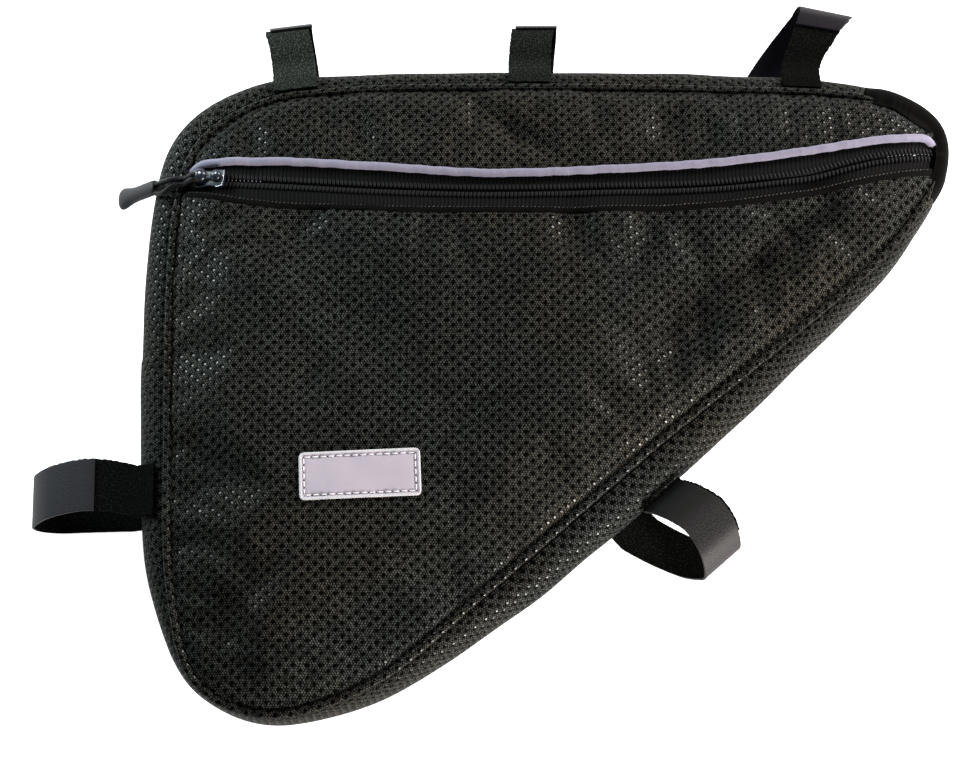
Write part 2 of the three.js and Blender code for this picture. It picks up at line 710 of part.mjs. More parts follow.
// Label: a curved patch that lies on the lower panel
function labelPatch() {
  const turn = degToRad(labelTurn);
  const sections = [];
  for (let i = 0; i <= labelSteps.along; i += 1) {
    const top = [];
    for (let j = 0; j <= labelSteps.across; j += 1) {
      const a = (i / labelSteps.along - 0.5) * labelWidth;
      const b = (j / labelSteps.across - 0.5) * labelHeight;
      const x = labelPlace.across * seamWidth + a * Math.cos(turn) - b * Math.sin(turn);
      const y = labelPlace.up * seamHeight + a * Math.sin(turn) + b * Math.cos(turn);
      top.push(new THREE.Vector3(x, y, frontHeight(x, y) + labelLift + labelThickness));
    }
    const bottom = top.map((corner) => corner.clone().setZ(corner.z - labelThickness));
    sections.push([...top, ...bottom.reverse()]);
  }
  return loft(sections);
}

// One band of a strap: it follows the loop between two shares of its length, on one side of it
function strapBand(strap, from, to, inset, thickness) {
  const station = seamPlace(strap.across, strap.up);
  const bulge = station.bulge;
  const reach = strap.reach * strapReach;
  const nudge = 0.02;
  const onGusset = (turn) => {
    const spot = gussetPoint(station, degToRad(turn), fabricStart);
    const beside = gussetPoint(station, degToRad(turn) + nudge, fabricStart);
    const run = Math.hypot(beside.out - spot.out, beside.level - spot.level);
    const lift = (strapSeat + loopBandThickness / 2) / run;
    return new THREE.Vector3(
      spot.out - lift * (beside.level - spot.level),
      spot.level + lift * (beside.out - spot.out),
      0,
    );
  };
  const route = new THREE.CatmullRomCurve3([
    ...strapSewn.front.map(onGusset),
    ...strapRoute.map((row) => new THREE.Vector3(
      bulge + row.out * reach, lerp(strapFloorLevel, strapTopLevel, row.level), 0)),
    ...strapSewn.back.map(onGusset),
  ], false, 'centripetal');
  const steps = Math.ceil((to - from) * strapSteps);
  const sections = [];
  for (let i = 0; i <= steps; i += 1) {
    const share = lerp(from, to, i / steps);
    const spot = route.getPoint(share);
    const heading = route.getTangent(share);
    const middle = {
      out: spot.x + heading.y * inset,
      level: spot.y - heading.x * inset,
    };
    const outShare = clamp((spot.x - bulge) / reach, 0, 1);
    const drifted = clamp((share - strapDriftSpan.from) / strapDriftSpan.over, 0, 1);
    const lean = strap.lean * outShare + strap.drift * drifted;
    const corner = (side, lift) => station.point.clone()
      .addScaledVector(station.along, (lean + side / 2) * strap.width)
      .addScaledVector(station.out, middle.out + heading.y * lift)
      .setZ(middle.level - heading.x * lift);
    const half = thickness / 2;
    sections.push([corner(-1, -half), corner(1, -half), corner(1, half), corner(-1, half)]);
  }
  return loft(sections);
}

// Materials by finish
const finish = (color, roughness, metalness = 0) => () => new THREE.MeshStandardMaterial({
  color, roughness, metalness });
const fabric = finish(0x252624, 0.7);
const smoothFabric = finish(0x141514, 0.6);
const reflective = finish(0x9d9aab, 0.45);
const tape = finish(0x1b1b1c, 0.8);
const coil = finish(0x1e1e20, 0.5);
const glossyMetal = finish(0x14161a, 0.2, 0.6);
const cordFinish = finish(0x1a1c20, 0.7);
const rubber = finish(0x3a3840, 0.6);
const labelFinish = finish(0xb2abb7, 0.5);
const loopTape = finish(0x151615, 0.95);
const hookTape = finish(0x3c3c41, 0.6);

const bag = new THREE.Group();

function addPiece(name, geometry, material) {
  const mesh = new THREE.Mesh(geometry, material());
  mesh.name = name;
  bag.add(mesh);
  return mesh;
}

addPiece('back_panel', backGeometry, fabric);
addPiece('gusset', gussetGeometry, fabric);
addPiece('gusset_tip', tipGeometry, smoothFabric);
addPiece('front_welt', frontWeltGeometry, fabric);
addPiece('back_welt', backWeltGeometry, fabric);
addPiece('front_lower', lowerGeometry, fabric);
addPiece('front_upper', upperGeometry, fabric);
addPiece('reflective_piping', pipingGeometry, reflective);
addPiece('zip_tape_upper', upperTapeGeometry, tape);
addPiece('zip_tape_lower', lowerTapeGeometry, tape);
addPiece('zip_chain', chainGeometry, coil);
addPiece('pull_cord', cordGeometry, cordFinish);
addPiece('pull_grip', gripGeometry, rubber);
addPiece('label', labelPatch(), labelFinish);

const slider = addPiece('zip_slider', sliderGeometry, glossyMetal);
slider.position.set(sliderX, sliderY, sliderLevel);
slider.rotation.set(0, sliderPitch, sliderTurn, 'ZYX');

const bandStep = (loopBandThickness + hookBandThickness) / 2 + gap;
for (const strap of strapTable) {
  const closing = closingTable[strap.name];
  const loopBand = strapBand(strap, 0, closing.loopTo, 0, loopBandThickness);
  const hookBand = strapBand(strap, closing.hookFrom, 1, -bandStep, hookBandThickness);
  addPiece(`strap_${strap.name}_loop`, loopBand, loopTape);
  addPiece(`strap_${strap.name}_hook`, hookBand, hookTape);
}

// The origin is the middle of the underside
const box = new THREE.Box3().setFromObject(bag);
const centre = box.getCenter(new THREE.Vector3());
bag.position.set(-centre.x, -centre.y, -box.min.z);

export default bag;
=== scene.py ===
import math

import bpy
import numpy as np
from mathutils import Euler, Matrix, Vector


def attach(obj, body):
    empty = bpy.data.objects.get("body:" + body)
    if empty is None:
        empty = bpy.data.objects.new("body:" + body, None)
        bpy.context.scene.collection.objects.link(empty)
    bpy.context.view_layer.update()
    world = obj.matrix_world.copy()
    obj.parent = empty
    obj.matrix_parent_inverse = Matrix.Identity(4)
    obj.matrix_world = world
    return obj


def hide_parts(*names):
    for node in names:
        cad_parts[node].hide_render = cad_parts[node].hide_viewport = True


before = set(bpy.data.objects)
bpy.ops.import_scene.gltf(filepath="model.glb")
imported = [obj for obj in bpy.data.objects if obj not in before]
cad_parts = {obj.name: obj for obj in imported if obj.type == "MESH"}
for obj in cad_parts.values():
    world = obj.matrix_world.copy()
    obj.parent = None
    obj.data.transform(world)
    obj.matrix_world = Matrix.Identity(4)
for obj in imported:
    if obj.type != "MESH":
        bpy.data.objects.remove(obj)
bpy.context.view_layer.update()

mm = 0.001


# Floor: the plain white table that the bag lies on. It glows a little, so that it stays white all
# round the bag, as in the photograph.
floor_size = 6.0
floor_color = (0.92, 0.92, 0.93, 1.0)
floor_roughness = 0.9
floor_glow = 0.97

bpy.ops.object.select_all(action="DESELECT")
bpy.ops.mesh.primitive_plane_add(size=floor_size, location=(0, 0, 0))
floor = bpy.context.object
floor.name = "floor"
floor_paper = bpy.data.materials.new("floor_paper")
floor_paper.use_nodes = True
floor_shader = floor_paper.node_tree.nodes["Principled BSDF"]
floor_shader.inputs["Base Color"].default_value = floor_color
floor_shader.inputs["Roughness"].default_value = floor_roughness
floor_shader.inputs["Emission Color"].default_value = (1.0, 1.0, 1.0, 1.0)
floor_shader.inputs["Emission Strength"].default_value = floor_glow
floor.data.materials.append(floor_paper)


# Light: a warm softbox low on the right, a cool window close on the left and a softer lamp behind.
# The small window above is there for the slider alone, whose round knobs mirror it. Each lamp has
# its place in metres, its size, its power and its tint.
sky_strength = 0.1
lights = {
    "warm_right": ((0.9, -1.0, 0.3), 0.4, 33, (1.0, 0.94, 0.87)),
    "cool_left": ((-0.5, 0.27, 0.24), 0.3, 3.5, (0.83, 0.98, 0.98)),
    "back": ((0.8, 0.68, 0.5), 0.6, 21, (1.0, 0.94, 0.89)),
    "slider_window": ((-0.27, 0.61, 0.75), 0.35, 30, (0.85, 0.94, 1.0)),
}
for name, (place, size, power, tint) in lights.items():
    bpy.ops.object.light_add(type="AREA", location=place)
    lamp = bpy.context.object
    lamp.name = name
    lamp.data.shape = "DISK"
    lamp.data.size = size
    lamp.data.energy = power
    lamp.data.color = tint
    lamp.rotation_euler = (-Vector(place)).to_track_quat("-Z", "Y").to_euler()

sky = bpy.data.worlds.new("studio")
sky.use_nodes = True
sky.node_tree.nodes["Background"].inputs["Color"].default_value = (1.0, 1.0, 1.0, 1.0)
sky.node_tree.nodes["Background"].inputs["Strength"].default_value = sky_strength
bpy.context.scene.world = sky
bpy.context.scene.view_settings.view_transform = "Standard"


# Camera: the photograph looks down at 75 degrees from 0.85 m away, at a point of the table just
# left of and below the middle of the bag.
photo_target = Vector((-5.6, -10.8, 0)) * mm
photo_elevation = math.radians(75)
photo_distance = 0.85
photo_lens = 67.7

camera_back = Vector((0, -math.cos(photo_elevation), math.sin(photo_elevation)))
bpy.ops.object.camera_add(
    location=photo_target + camera_back * photo_distance,
    rotation=(math.pi / 2 - photo_elevation, 0, 0),
)
camera = bpy.context.object
camera.data.sensor_width = 36
camera.data.lens = photo_lens
bpy.context.scene.camera = camera


# Seam line: the line that joins the panels to the gusset. It is read from the edge of the packed
# back panel, turned into an even closed line, and every sewn piece below is laid out along it.
seam_gap = 0.3 * mm
seam_count = 960
seam_level = 36 * mm
seam_left = -144.1 * mm
seam_width = 345 * mm
tip_drop = 4 * mm


def curve_between(start, stop, leave, arrive, t):
    """Smooth step from start to stop at the share t, with the slopes at both ends."""
    return (
        (2 * t**3 - 3 * t**2 + 1) * start + (t**3 - 2 * t**2 + t) * leave
        + (3 * t**2 - 2 * t**3) * stop + (t**3 - t**2) * arrive)


def smooth_line(points, closed=False, fineness=16):
    """Centripetal curve through points, with that many steps from each to the next."""
    points = np.array(points, float)
    if closed:
        around = np.vstack([points[-1:], points, points[:2]])
    else:
        first = 2 * points[0] - points[1]
        last = 2 * points[-1] - points[-2]
        around = np.vstack([first[None], points, last[None]])
    line = []
    for a, b, c, d in zip(around, around[1:], around[2:], around[3:]):
        ab, bc, cd = (max(np.linalg.norm(q - p) ** 0.5, 1e-6) for p, q in ((a, b), (b, c), (c, d)))
        leave = ((b - a) / ab - (c - a) / (ab + bc) + (c - b) / bc) * bc
        arrive = ((c - b) / bc - (d - b) / (bc + cd) + (d - c) / cd) * bc
        t = np.linspace(0, 1, fineness, endpoint=False)[:, None]
        line.append(curve_between(b, c, leave, arrive, t))
    line = np.vstack(line)
    return line if closed else np.vstack([line, points[-1:]])


def even_line(line, count, closed=False):
    """The same line with count points at even distances, and its length."""
    if closed:
        line = np.vstack([line, line[:1]])
    walked = np.concatenate([[0], np.cumsum(np.linalg.norm(np.diff(line, axis=0), axis=1))])
    wanted = np.linspace(0, walked[-1], count, endpoint=not closed)
    return np.stack([np.interp(wanted, walked, axis) for axis in line.T], axis=1), walked[-1]


panel_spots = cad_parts["back_panel"].data.vertices
edge_corners = {(round(spot.co.x, 5), round(spot.co.y, 5)) for spot in panel_spots}
edge_corners = np.array(sorted(edge_corners))
edge_middle = edge_corners.mean(axis=0)
edge_turn = np.arctan2(*(edge_corners - edge_middle).T[::-1])
edge_corners = edge_corners[np.argsort(edge_turn)]
seam, seam_length = even_line(smooth_line(edge_corners, closed=True), seam_count, closed=True)
seam_along = np.roll(seam, -1, axis=0) - np.roll(seam, 1, axis=0)
seam_along /= np.linalg.norm(seam_along, axis=1)[:, None]
seam_out = np.stack([seam_along[:, 1], -seam_along[:, 0]], axis=1)
seam = seam + seam_gap * seam_out


def seam_level_at(x):
    share = np.clip(((x - seam_left) / seam_width - 0.7) / 0.3, 0, 1)
    return seam_level - tip_drop * share**2


def inside_seam(x, y):
    """Distance to the seam, above zero inside it."""
    distance = np.empty(len(x))
    for start in range(0, len(x), 2000):
        part = slice(start, start + 2000)
        gap = np.stack([x[part], y[part]], axis=1)[:, None] - seam[None]
        nearest = np.argmin((gap**2).sum(axis=2), axis=1)
        pick = gap[np.arange(len(nearest)), nearest]
        distance[part] = -(pick * seam_out[nearest]).sum(axis=1)
    return distance


# Front surface: how high the filled front stands at each place, with the dents and ridges that
# the photograph shows. Each is x, y, length, width in mm, turn in degrees and depth in mm. The
# last number of a lopsided one is how many times wider its upper left side is.
crown = (8 * mm, 11 * mm)
puff = (3 * mm, 45 * mm)
dent_fade = 7 * mm
dents = [
    (6.0, 97.4, 19.8, 5.0, -32, 5.6, 1.3),
    (76.7, 99.4, 10.0, 5.1, 63, 4.0, 1.5),
    (-35.1, 103.0, 9.9, 7.9, 0, 2.6, 1),
    (-66.0, 96.0, 12.0, 6.0, -60, 3.0, 1.4),
    (-113.7, 93.1, 11.9, 5.1, -80, 3.0, 1),
    (66.3, 44.7, 15.0, 5.9, 60, 4.0, 1.6),
    (142.1, 58.7, 15.0, 7.0, 40, 5.6, 1.6),
    (127.6, 38.8, 22.0, 8.0, 36, 7.8, 2.0),
    (100.0, 19.6, 28.0, 11.0, 42, 12.5, 2.4),
    (78.0, -3.4, 22.0, 10.0, 44, 8.4, 2.2),
    (33.6, 46.8, 11.9, 7.0, 72, 3.8, 1.6),
    (-89.6, 45.4, 22.0, 11.9, -35, 4.0, 1),
    (-59.6, 1.3, 24.9, 16.0, -40, 4.0, 1),
    (-15.7, -35.1, 18.1, 9.9, 10, 3.0, 1),
    (-105.4, 22.1, 26.0, 11.0, -36, -2.6, 1),
    (25.3, 27.7, 29.9, 14.1, 35, -3.0, 1),
    (-20.0, -78.0, 16.0, 9.0, 60, 2.4, 1),
    (-84.0, -22.0, 12.0, 8.0, 75, 2.6, 1),
    (-104.0, -112.0, 18.0, 7.0, 52, 3.4, 1.4),
]


def full_level(x, y):
    """The filled front without its dents."""
    inside = np.maximum(inside_seam(x, y), 0)
    return seam_level_at(x) + sum(rise * (1 - np.exp(-inside / reach)) for rise, reach in (crown, puff))


def front_level(x, y):
    x, y = np.atleast_1d(np.asarray(x, float)), np.atleast_1d(np.asarray(y, float))
    level = full_level(x, y)
    fade = 1 - np.exp(-np.maximum(inside_seam(x, y), 0) / dent_fade)
    for at_x, at_y, length, width, turn, depth, wider in dents:
        dx, dy, turn = x - at_x * mm, y - at_y * mm, math.radians(turn)
        along = (dx * math.cos(turn) + dy * math.sin(turn)) / (length * mm)
        beside = (dy * math.cos(turn) - dx * math.sin(turn)) / (width * mm)
        beside = np.where(beside > 0, beside / wider, beside)
        level = level - fade * depth * mm * np.exp(-along**2 - beside**2)
    return level


# Zip lines: where the piping, the zip and the edge of the lower panel cross the front. Each row
# holds heights at the places across, as shares of the height of the bag.
zip_across = np.array([0, 0.1, 0.25, 0.4, 0.55, 0.7, 0.82, 0.92, 1]) * seam_width + seam_left
seam_foot = -162.8 * mm
seam_height = 282.5 * mm
zip_shares = {
    "piping": [0.868, 0.867, 0.857, 0.845, 0.851, 0.863, 0.884, 0.907, 0.921],
    "zip": [0.842, 0.833, 0.8215, 0.816, 0.8195, 0.826, 0.845, 0.877, 0.896],
    "edge": [0.824, 0.8, 0.789, 0.787, 0.788, 0.7965, 0.82, 0.848, 0.87],
}


def zip_line(name, x, shift=0.0):
    heights = np.array(zip_shares[name]) * seam_height + seam_foot
    slopes = np.gradient(heights, zip_across)
    slopes[1:-1] = (heights[2:] - heights[:-2]) / (zip_across[2:] - zip_across[:-2])
    i = np.clip(np.searchsorted(zip_across, x) - 1, 0, len(zip_across) - 2)
    span = zip_across[i + 1] - zip_across[i]
    t = (x - zip_across[i]) / span
    return shift + curve_between(
        heights[i], heights[i + 1], span * slopes[i], span * slopes[i + 1], t)


def zip_ends(name, clearance):
    """Where one of those lines comes within a clearance of the seam, left and right."""
    x = np.linspace(seam_left, seam_left + seam_width, 1400)
    clear = x[inside_seam(x, zip_line(name, x)) > clearance]
    return clear[0], clear[-1]


# Patterned cloth: black polyester with small woven dots in staggered rows. Each dot is a shiny
# raised float, and the ground between is short lighter threads.
def wire(tree, kind, *sources, **settings):
    """Adds a shader node, sets it and joins it up, and returns its first output."""
    node = tree.nodes.new("ShaderNode" + kind)
    for setting, value in settings.items():
        setattr(node, setting, value)
    for socket, source in zip(node.inputs, sources):
        if isinstance(source, bpy.types.NodeSocket):
            tree.links.new(source, socket)
        elif source is not None:
            socket.default_value = source
    return node.outputs[0]


def math_on(tree, operation, *values, clamp=False):
    return wire(tree, "Math", *values, operation=operation, use_clamp=clamp)


def blend_colors(tree, share, first, second):
    node = tree.nodes.new("ShaderNodeMix")
    node.data_type = "RGBA"
    for index, source in ((0, share), (6, first), (7, second)):
        socket = node.inputs[index]
        if isinstance(source, bpy.types.NodeSocket):
            tree.links.new(source, socket)
        else:
            socket.default_value = source
    return node.outputs[2]


def noise_on(tree, place, scale, detail=2.0):
    """Cloudy grain, as a share from 0 to 1."""
    grain = wire(tree, "TexNoise", place)
    grain.node.inputs["Scale"].default_value = scale
    grain.node.inputs["Detail"].default_value = detail
    return grain


def lattice(tree, x, y, pitch, rows, half_wide, half_high, lozenge=False):
    """Distance from the nearest spot of a staggered grid, as a share of it. It is squared for a
    round spot, and straight across and up for a lozenge."""
    spots = []
    for shift in (0.0, 0.5):
        across = math_on(tree, "DIVIDE", x, pitch)
        up = math_on(tree, "DIVIDE", y, rows)
        parts = []
        for share, cell, half in ((across, pitch, half_wide), (up, rows, half_high)):
            share = math_on(tree, "FRACT", math_on(tree, "ADD", share, shift))
            share = math_on(tree, "MULTIPLY", math_on(tree, "SUBTRACT", share, 0.5), cell / half)
            if lozenge:
                parts.append(math_on(tree, "ABSOLUTE", share))
            else:
                parts.append(math_on(tree, "MULTIPLY", share, share))
        spots.append(math_on(tree, "ADD", *parts))
    return math_on(tree, "MINIMUM", *spots)


dot_pitch, dot_rows = 5.8, 5.0
glint_shift = (-0.8, 0.5)
glint_half = (0.62, 0.55)
thread_pitch, thread_rows = 1.16, 2.0
thread_half = (0.46, 0.5)


def make_dobby():
    """The weave in millimetres: where its dots, shiny floats and threads lie, and its height."""
    group = bpy.data.node_groups.new("dobby_weave", "ShaderNodeTree")
    group.interface.new_socket("Place", in_out="INPUT", socket_type="NodeSocketVector")
    for name in ("Dot", "Float", "Thread", "Shade", "Height"):
        group.interface.new_socket(name, in_out="OUTPUT", socket_type="NodeSocketFloat")
    entry = group.nodes.new("NodeGroupInput")
    leave = group.nodes.new("NodeGroupOutput")
    place = wire(group, "VectorMath", entry.outputs["Place"], operation="SCALE")
    place.node.inputs["Scale"].default_value = 1000
    wobble = noise_on(group, place, 0.35)
    wobble = wire(group, "VectorMath", wobble.node.outputs["Color"], operation="SCALE")
    wobble.node.inputs["Scale"].default_value = 0.7
    place = wire(group, "VectorMath", place, wobble, operation="ADD")
    split = wire(group, "SeparateXYZ", place).node
    x, y = split.outputs[0], split.outputs[1]
    around = lattice(group, x, y, dot_pitch, dot_rows, dot_pitch / 2, dot_rows / 2, lozenge=True)
    dot_dome = math_on(group, "MULTIPLY_ADD", around, -2.1, 1.0, clamp=True)
    dot_mask = math_on(group, "MULTIPLY", dot_dome, 3.5, clamp=True)
    glint_x = math_on(group, "ADD", x, glint_shift[0])
    glint_y = math_on(group, "ADD", y, glint_shift[1])
    glint = lattice(group, glint_x, glint_y, dot_pitch, dot_rows, *glint_half)
    float_mask = math_on(group, "SUBTRACT", 1.0, glint, clamp=True)
    ring = math_on(group, "ABSOLUTE", math_on(group, "SUBTRACT", around, 0.82))
    ring = math_on(group, "MULTIPLY_ADD", ring, -5.0, 1.2, clamp=True)
    tick = lattice(group, x, y, thread_pitch, thread_rows, *thread_half)
    tick_dome = math_on(group, "SUBTRACT", 1.0, tick, clamp=True)
    grain = math_on(group, "MULTIPLY", tick_dome, 1.9, clamp=True)
    tick_mask = math_on(group, "MULTIPLY", grain, math_on(group, "MULTIPLY_ADD", ring, 0.56, 0.5))
    column = math_on(group, "FLOOR", math_on(group, "DIVIDE", x, thread_pitch / 2))
    row = math_on(group, "FLOOR", math_on(group, "DIVIDE", y, thread_rows / 2))
    cell = wire(group, "CombineXYZ", column, row, 0.0)
    chance = wire(group, "TexWhiteNoise", cell, noise_dimensions="3D")
    free = math_on(group, "SUBTRACT", 1.0, dot_mask)
    thread = math_on(group, "MULTIPLY", tick_mask, free)
    ridges = math_on(group, "MULTIPLY", math_on(group, "MULTIPLY", tick_dome, free), 0.55)
    height = math_on(group, "ADD", dot_dome, ridges)
    results = dict(Dot=dot_mask, Float=float_mask, Thread=thread, Shade=chance, Height=height)
    for name, value in results.items():
        group.links.new(value, leave.inputs[name])
    return group


dobby_weave = make_dobby()


def new_material(name, roughness=0.6, specular=0.5, **constants):
    material = bpy.data.materials.new(name)
    material.use_nodes = True
    shader = material.node_tree.nodes["Principled BSDF"]
    shader.inputs["Roughness"].default_value = roughness
    shader.inputs["Specular IOR Level"].default_value = specular
    for socket, value in constants.items():
        shader.inputs[socket.replace("_", " ").title()].default_value = value
    return material, material.node_tree, shader


def raise_bump(tree, shader, height, strength, distance):
    bump = tree.nodes.new("ShaderNodeBump")
    bump.inputs["Strength"].default_value = strength
    bump.inputs["Distance"].default_value = distance
    tree.links.new(height, bump.inputs["Height"])
    tree.links.new(bump.outputs["Normal"], shader.inputs["Normal"])


def place_source(tree, source):
    return tree.nodes.new("ShaderNodeTexCoord").outputs[source]


def paint(tree, shader, share, dark, light):
    """Blends two colours over the surface, by a share from 0 to 1."""
    tone = blend_colors(tree, share, (*dark, 1), (*light, 1))
    tree.links.new(tone, shader.inputs["Base Color"])


def dobby_cloth(name, source):
    material, tree, shader = new_material(name, roughness=0.6, specular=0.02)
    group = tree.nodes.new("ShaderNodeGroup")
    group.node_tree = dobby_weave
    place = place_source(tree, source)
    tree.links.new(place, group.inputs["Place"])
    worn = noise_on(tree, place, 18, detail=3)
    bright = math_on(tree, "POWER", group.outputs["Shade"], 2.2)
    bright = math_on(tree, "MULTIPLY_ADD", bright, 1.5, 0.25)
    bright = math_on(tree, "MULTIPLY", bright, math_on(tree, "ADD", worn, 0.4))
    tint = math_on(tree, "MULTIPLY_ADD", noise_on(tree, place, 14), 3.0, -1.0, clamp=True)
    shine = blend_colors(tree, tint, (0.082, 0.093, 0.087, 1), (0.095, 0.087, 0.073, 1))
    thread = blend_colors(tree, bright, (0.0025, 0.0027, 0.0023, 1), shine)
    color = blend_colors(tree, group.outputs["Thread"], (0.0008, 0.0009, 0.0008, 1), thread)
    color = blend_colors(tree, group.outputs["Dot"], color, (0.0003, 0.0003, 0.0003, 1))
    tree.links.new(color, shader.inputs["Base Color"])
    tree.links.new(group.outputs["Float"], shader.inputs["Coat Weight"])
    shader.inputs["Coat Roughness"].default_value = 0.32
    sheen = math_on(tree, "MULTIPLY", group.outputs["Thread"], 0.15)
    tree.links.new(sheen, shader.inputs["Metallic"])
    raise_bump(tree, shader, group.outputs["Height"], 0.3, 0.0004)
    return material


panel_cloth = dobby_cloth("panel_cloth", "Object")
strip_cloth = dobby_cloth("strip_cloth", "UV")


# Front panels: the large lower one and the narrow one above the zip. Each is cut from the
# patterned cloth and sewn in at the seam, and it puffs and creases a little where it is held.
panel_cell = 2.6 * mm
panel_wall = 1.2 * mm
panel_tuck = 1.3 * mm
panel_pressure = 1.5
panel_lift = 4 * mm
lower_slack, upper_slack = 0.022, 0.02
upper_from = 60 * mm


def pick_only(*pieces):
    """Selects these pieces alone, with the first one active."""
    bpy.ops.object.select_all(action="DESELECT")
    for piece in pieces:
        piece.select_set(True)
    bpy.context.view_layer.objects.active = pieces[0]


def finish_mesh(piece, slot, *nodes):
    pick_only(piece)
    bpy.ops.object.shade_smooth()
    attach(piece, "root")
    if nodes:
        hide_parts(*nodes)


def modify(piece, kind, **settings):
    """Adds a modifier and applies it."""
    modifier = piece.modifiers.new(kind.lower(), kind)
    for setting, value in settings.items():
        setattr(modifier, setting, value)
    pick_only(piece)
    bpy.ops.object.modifier_apply(modifier=modifier.name)


def spots_of(piece):
    spots = np.empty(len(piece.data.vertices) * 3)
    piece.data.vertices.foreach_get("co", spots)
    return spots.reshape(-1, 3)


def move_spots(piece, spots):
    piece.data.vertices.foreach_set("co", np.ascontiguousarray(spots).ravel())
    piece.data.update()


def cut_cloth(name, inside, low, high, cell):
    """A sheet of even cells, cut along the line where inside(x, y) is zero."""
    size = [high[0] - low[0], high[1] - low[1]]
    bpy.ops.object.select_all(action="DESELECT")
    bpy.ops.mesh.primitive_grid_add(
        x_subdivisions=round(size[0] / cell), y_subdivisions=round(size[1] / cell), size=1,
    )
    sheet = bpy.context.object
    sheet.name = name
    spots = spots_of(sheet)
    spots[:, 0] = low[0] + (spots[:, 0] + 0.5) * size[0]
    spots[:, 1] = low[1] + (spots[:, 1] + 0.5) * size[1]
    move_spots(sheet, spots)
    middles = np.array([face.center for face in sheet.data.polygons])
    outside = inside(middles[:, 0], middles[:, 1]) < 0
    bpy.ops.object.mode_set(mode="EDIT")
    bpy.ops.mesh.select_mode(type="FACE")
    bpy.ops.object.mode_set(mode="OBJECT")
    sheet.data.polygons.foreach_set("select", outside)
    bpy.ops.object.mode_set(mode="EDIT")
    bpy.ops.mesh.delete(type="FACE")
    bpy.ops.object.mode_set(mode="OBJECT")
    edge = np.zeros(len(sheet.data.vertices), bool)
    uses = {}
    for face in sheet.data.polygons:
        for key in face.edge_keys:
            uses[key] = uses.get(key, 0) + 1
    for key, count in uses.items():
        if count == 1:
            edge[list(key)] = True
    spots = spots_of(sheet)
    nudge = 0.2 * mm
    for _ in range(8):
        x, y = spots[edge, 0], spots[edge, 1]
        here = inside(x, y)
        slope = np.stack([
            (inside(x + nudge, y) - inside(x - nudge, y)) / (2 * nudge),
            (inside(x, y + nudge) - inside(x, y - nudge)) / (2 * nudge),
        ], axis=1)
        steep = np.maximum((slope**2).sum(axis=1), 0.3)
        spots[edge, :2] -= slope * (here / steep)[:, None]
    move_spots(sheet, spots)
    return sheet, edge


def relax(piece, held, rounds):
    """Evens out the cells of a sheet, apart from the held corners."""
    ends = np.empty(len(piece.data.edges) * 2, int)
    piece.data.edges.foreach_get("vertices", ends)
    a, b = ends.reshape(-1, 2).T
    spots = spots_of(piece)
    count = np.bincount(np.concatenate([a, b]), minlength=len(spots))[:, None]
    for _ in range(rounds):
        total = np.zeros_like(spots)
        np.add.at(total, a, spots[b])
        np.add.at(total, b, spots[a])
        spots = np.where(held[:, None], spots, 0.5 * spots + 0.5 * total / count)
    move_spots(piece, spots)


puff_frames = 16


def puff_up(piece, held, pressure, slack, cap):
    """Lets the sheet billow and crease as cloth, held where it is sewn."""
    before = spots_of(piece)
    group = piece.vertex_groups.new(name="sewn")
    group.add([int(i) for i in np.nonzero(held)[0]], 1.0, "REPLACE")
    cloth = piece.modifiers.new("cloth", "CLOTH")
    cloth.settings.quality = 8
    cloth.settings.mass = 0.2
    cloth.settings.tension_stiffness = 25
    cloth.settings.compression_stiffness = 25
    cloth.settings.shear_stiffness = 10
    cloth.settings.bending_stiffness = 1.5
    cloth.settings.shrink_min = -slack
    cloth.settings.vertex_group_mass = "sewn"
    cloth.settings.use_pressure = True
    cloth.settings.uniform_pressure_force = pressure
    cloth.settings.effector_weights.gravity = 0
    cloth.collision_settings.use_collision = False
    cloth.point_cache.frame_end = puff_frames
    for step in range(1, puff_frames + 1):
        bpy.context.scene.frame_set(step)
    pick_only(piece)
    bpy.ops.object.modifier_apply(modifier="cloth")
    bpy.context.scene.frame_set(1)
    moved = spots_of(piece) - before
    reach = np.linalg.norm(moved, axis=1)[:, None]
    move_spots(piece, before + moved * np.minimum(1, cap / np.maximum(reach, 1e-9)))
    piece.vertex_groups.clear()


def front_panel(name, inside, low, high, slack):
    panel, edge = cut_cloth(name, inside, low, high, panel_cell)
    relax(panel, edge, 6)
    spots = spots_of(panel)
    spots[:, 2] = full_level(spots[:, 0], spots[:, 1])
    move_spots(panel, spots)
    sewn = edge | (inside_seam(spots[:, 0], spots[:, 1]) < 0.8 * mm)
    puff_up(panel, sewn, panel_pressure, slack, panel_lift)
    spots = spots_of(panel)
    spots[:, 2] -= full_level(spots[:, 0], spots[:, 1])
    move_spots(panel, spots)
    modify(panel, "SUBSURF", levels=1, render_levels=1)
    spots = spots_of(panel)
    spots[:, 2] += front_level(spots[:, 0], spots[:, 1])
    move_spots(panel, spots)
    modify(panel, "SOLIDIFY", thickness=panel_wall, offset=-1)
    panel.data.materials.append(panel_cloth)
    return panel


def lower_inside(x, y):
    return np.minimum(inside_seam(x, y) + panel_tuck, zip_line("edge", x) - y)


def upper_inside(x, y):
    return np.minimum(inside_seam(x, y) + panel_tuck, y - zip_line("piping", x) - 1.2 * mm)


seam_low = seam.min(axis=0) - 2 * mm
seam_high = seam.max(axis=0) + 2 * mm
front_lower = front_panel(
    "front_lower_cloth", lower_inside, seam_low, seam_high, lower_slack)
finish_mesh(front_lower, "bag_fabric", "front_lower")
front_upper = front_panel(
    "front_upper_cloth", upper_inside, (seam_low[0], upper_from), seam_high, upper_slack)
finish_mesh(front_upper, "bag_fabric", "front_upper")


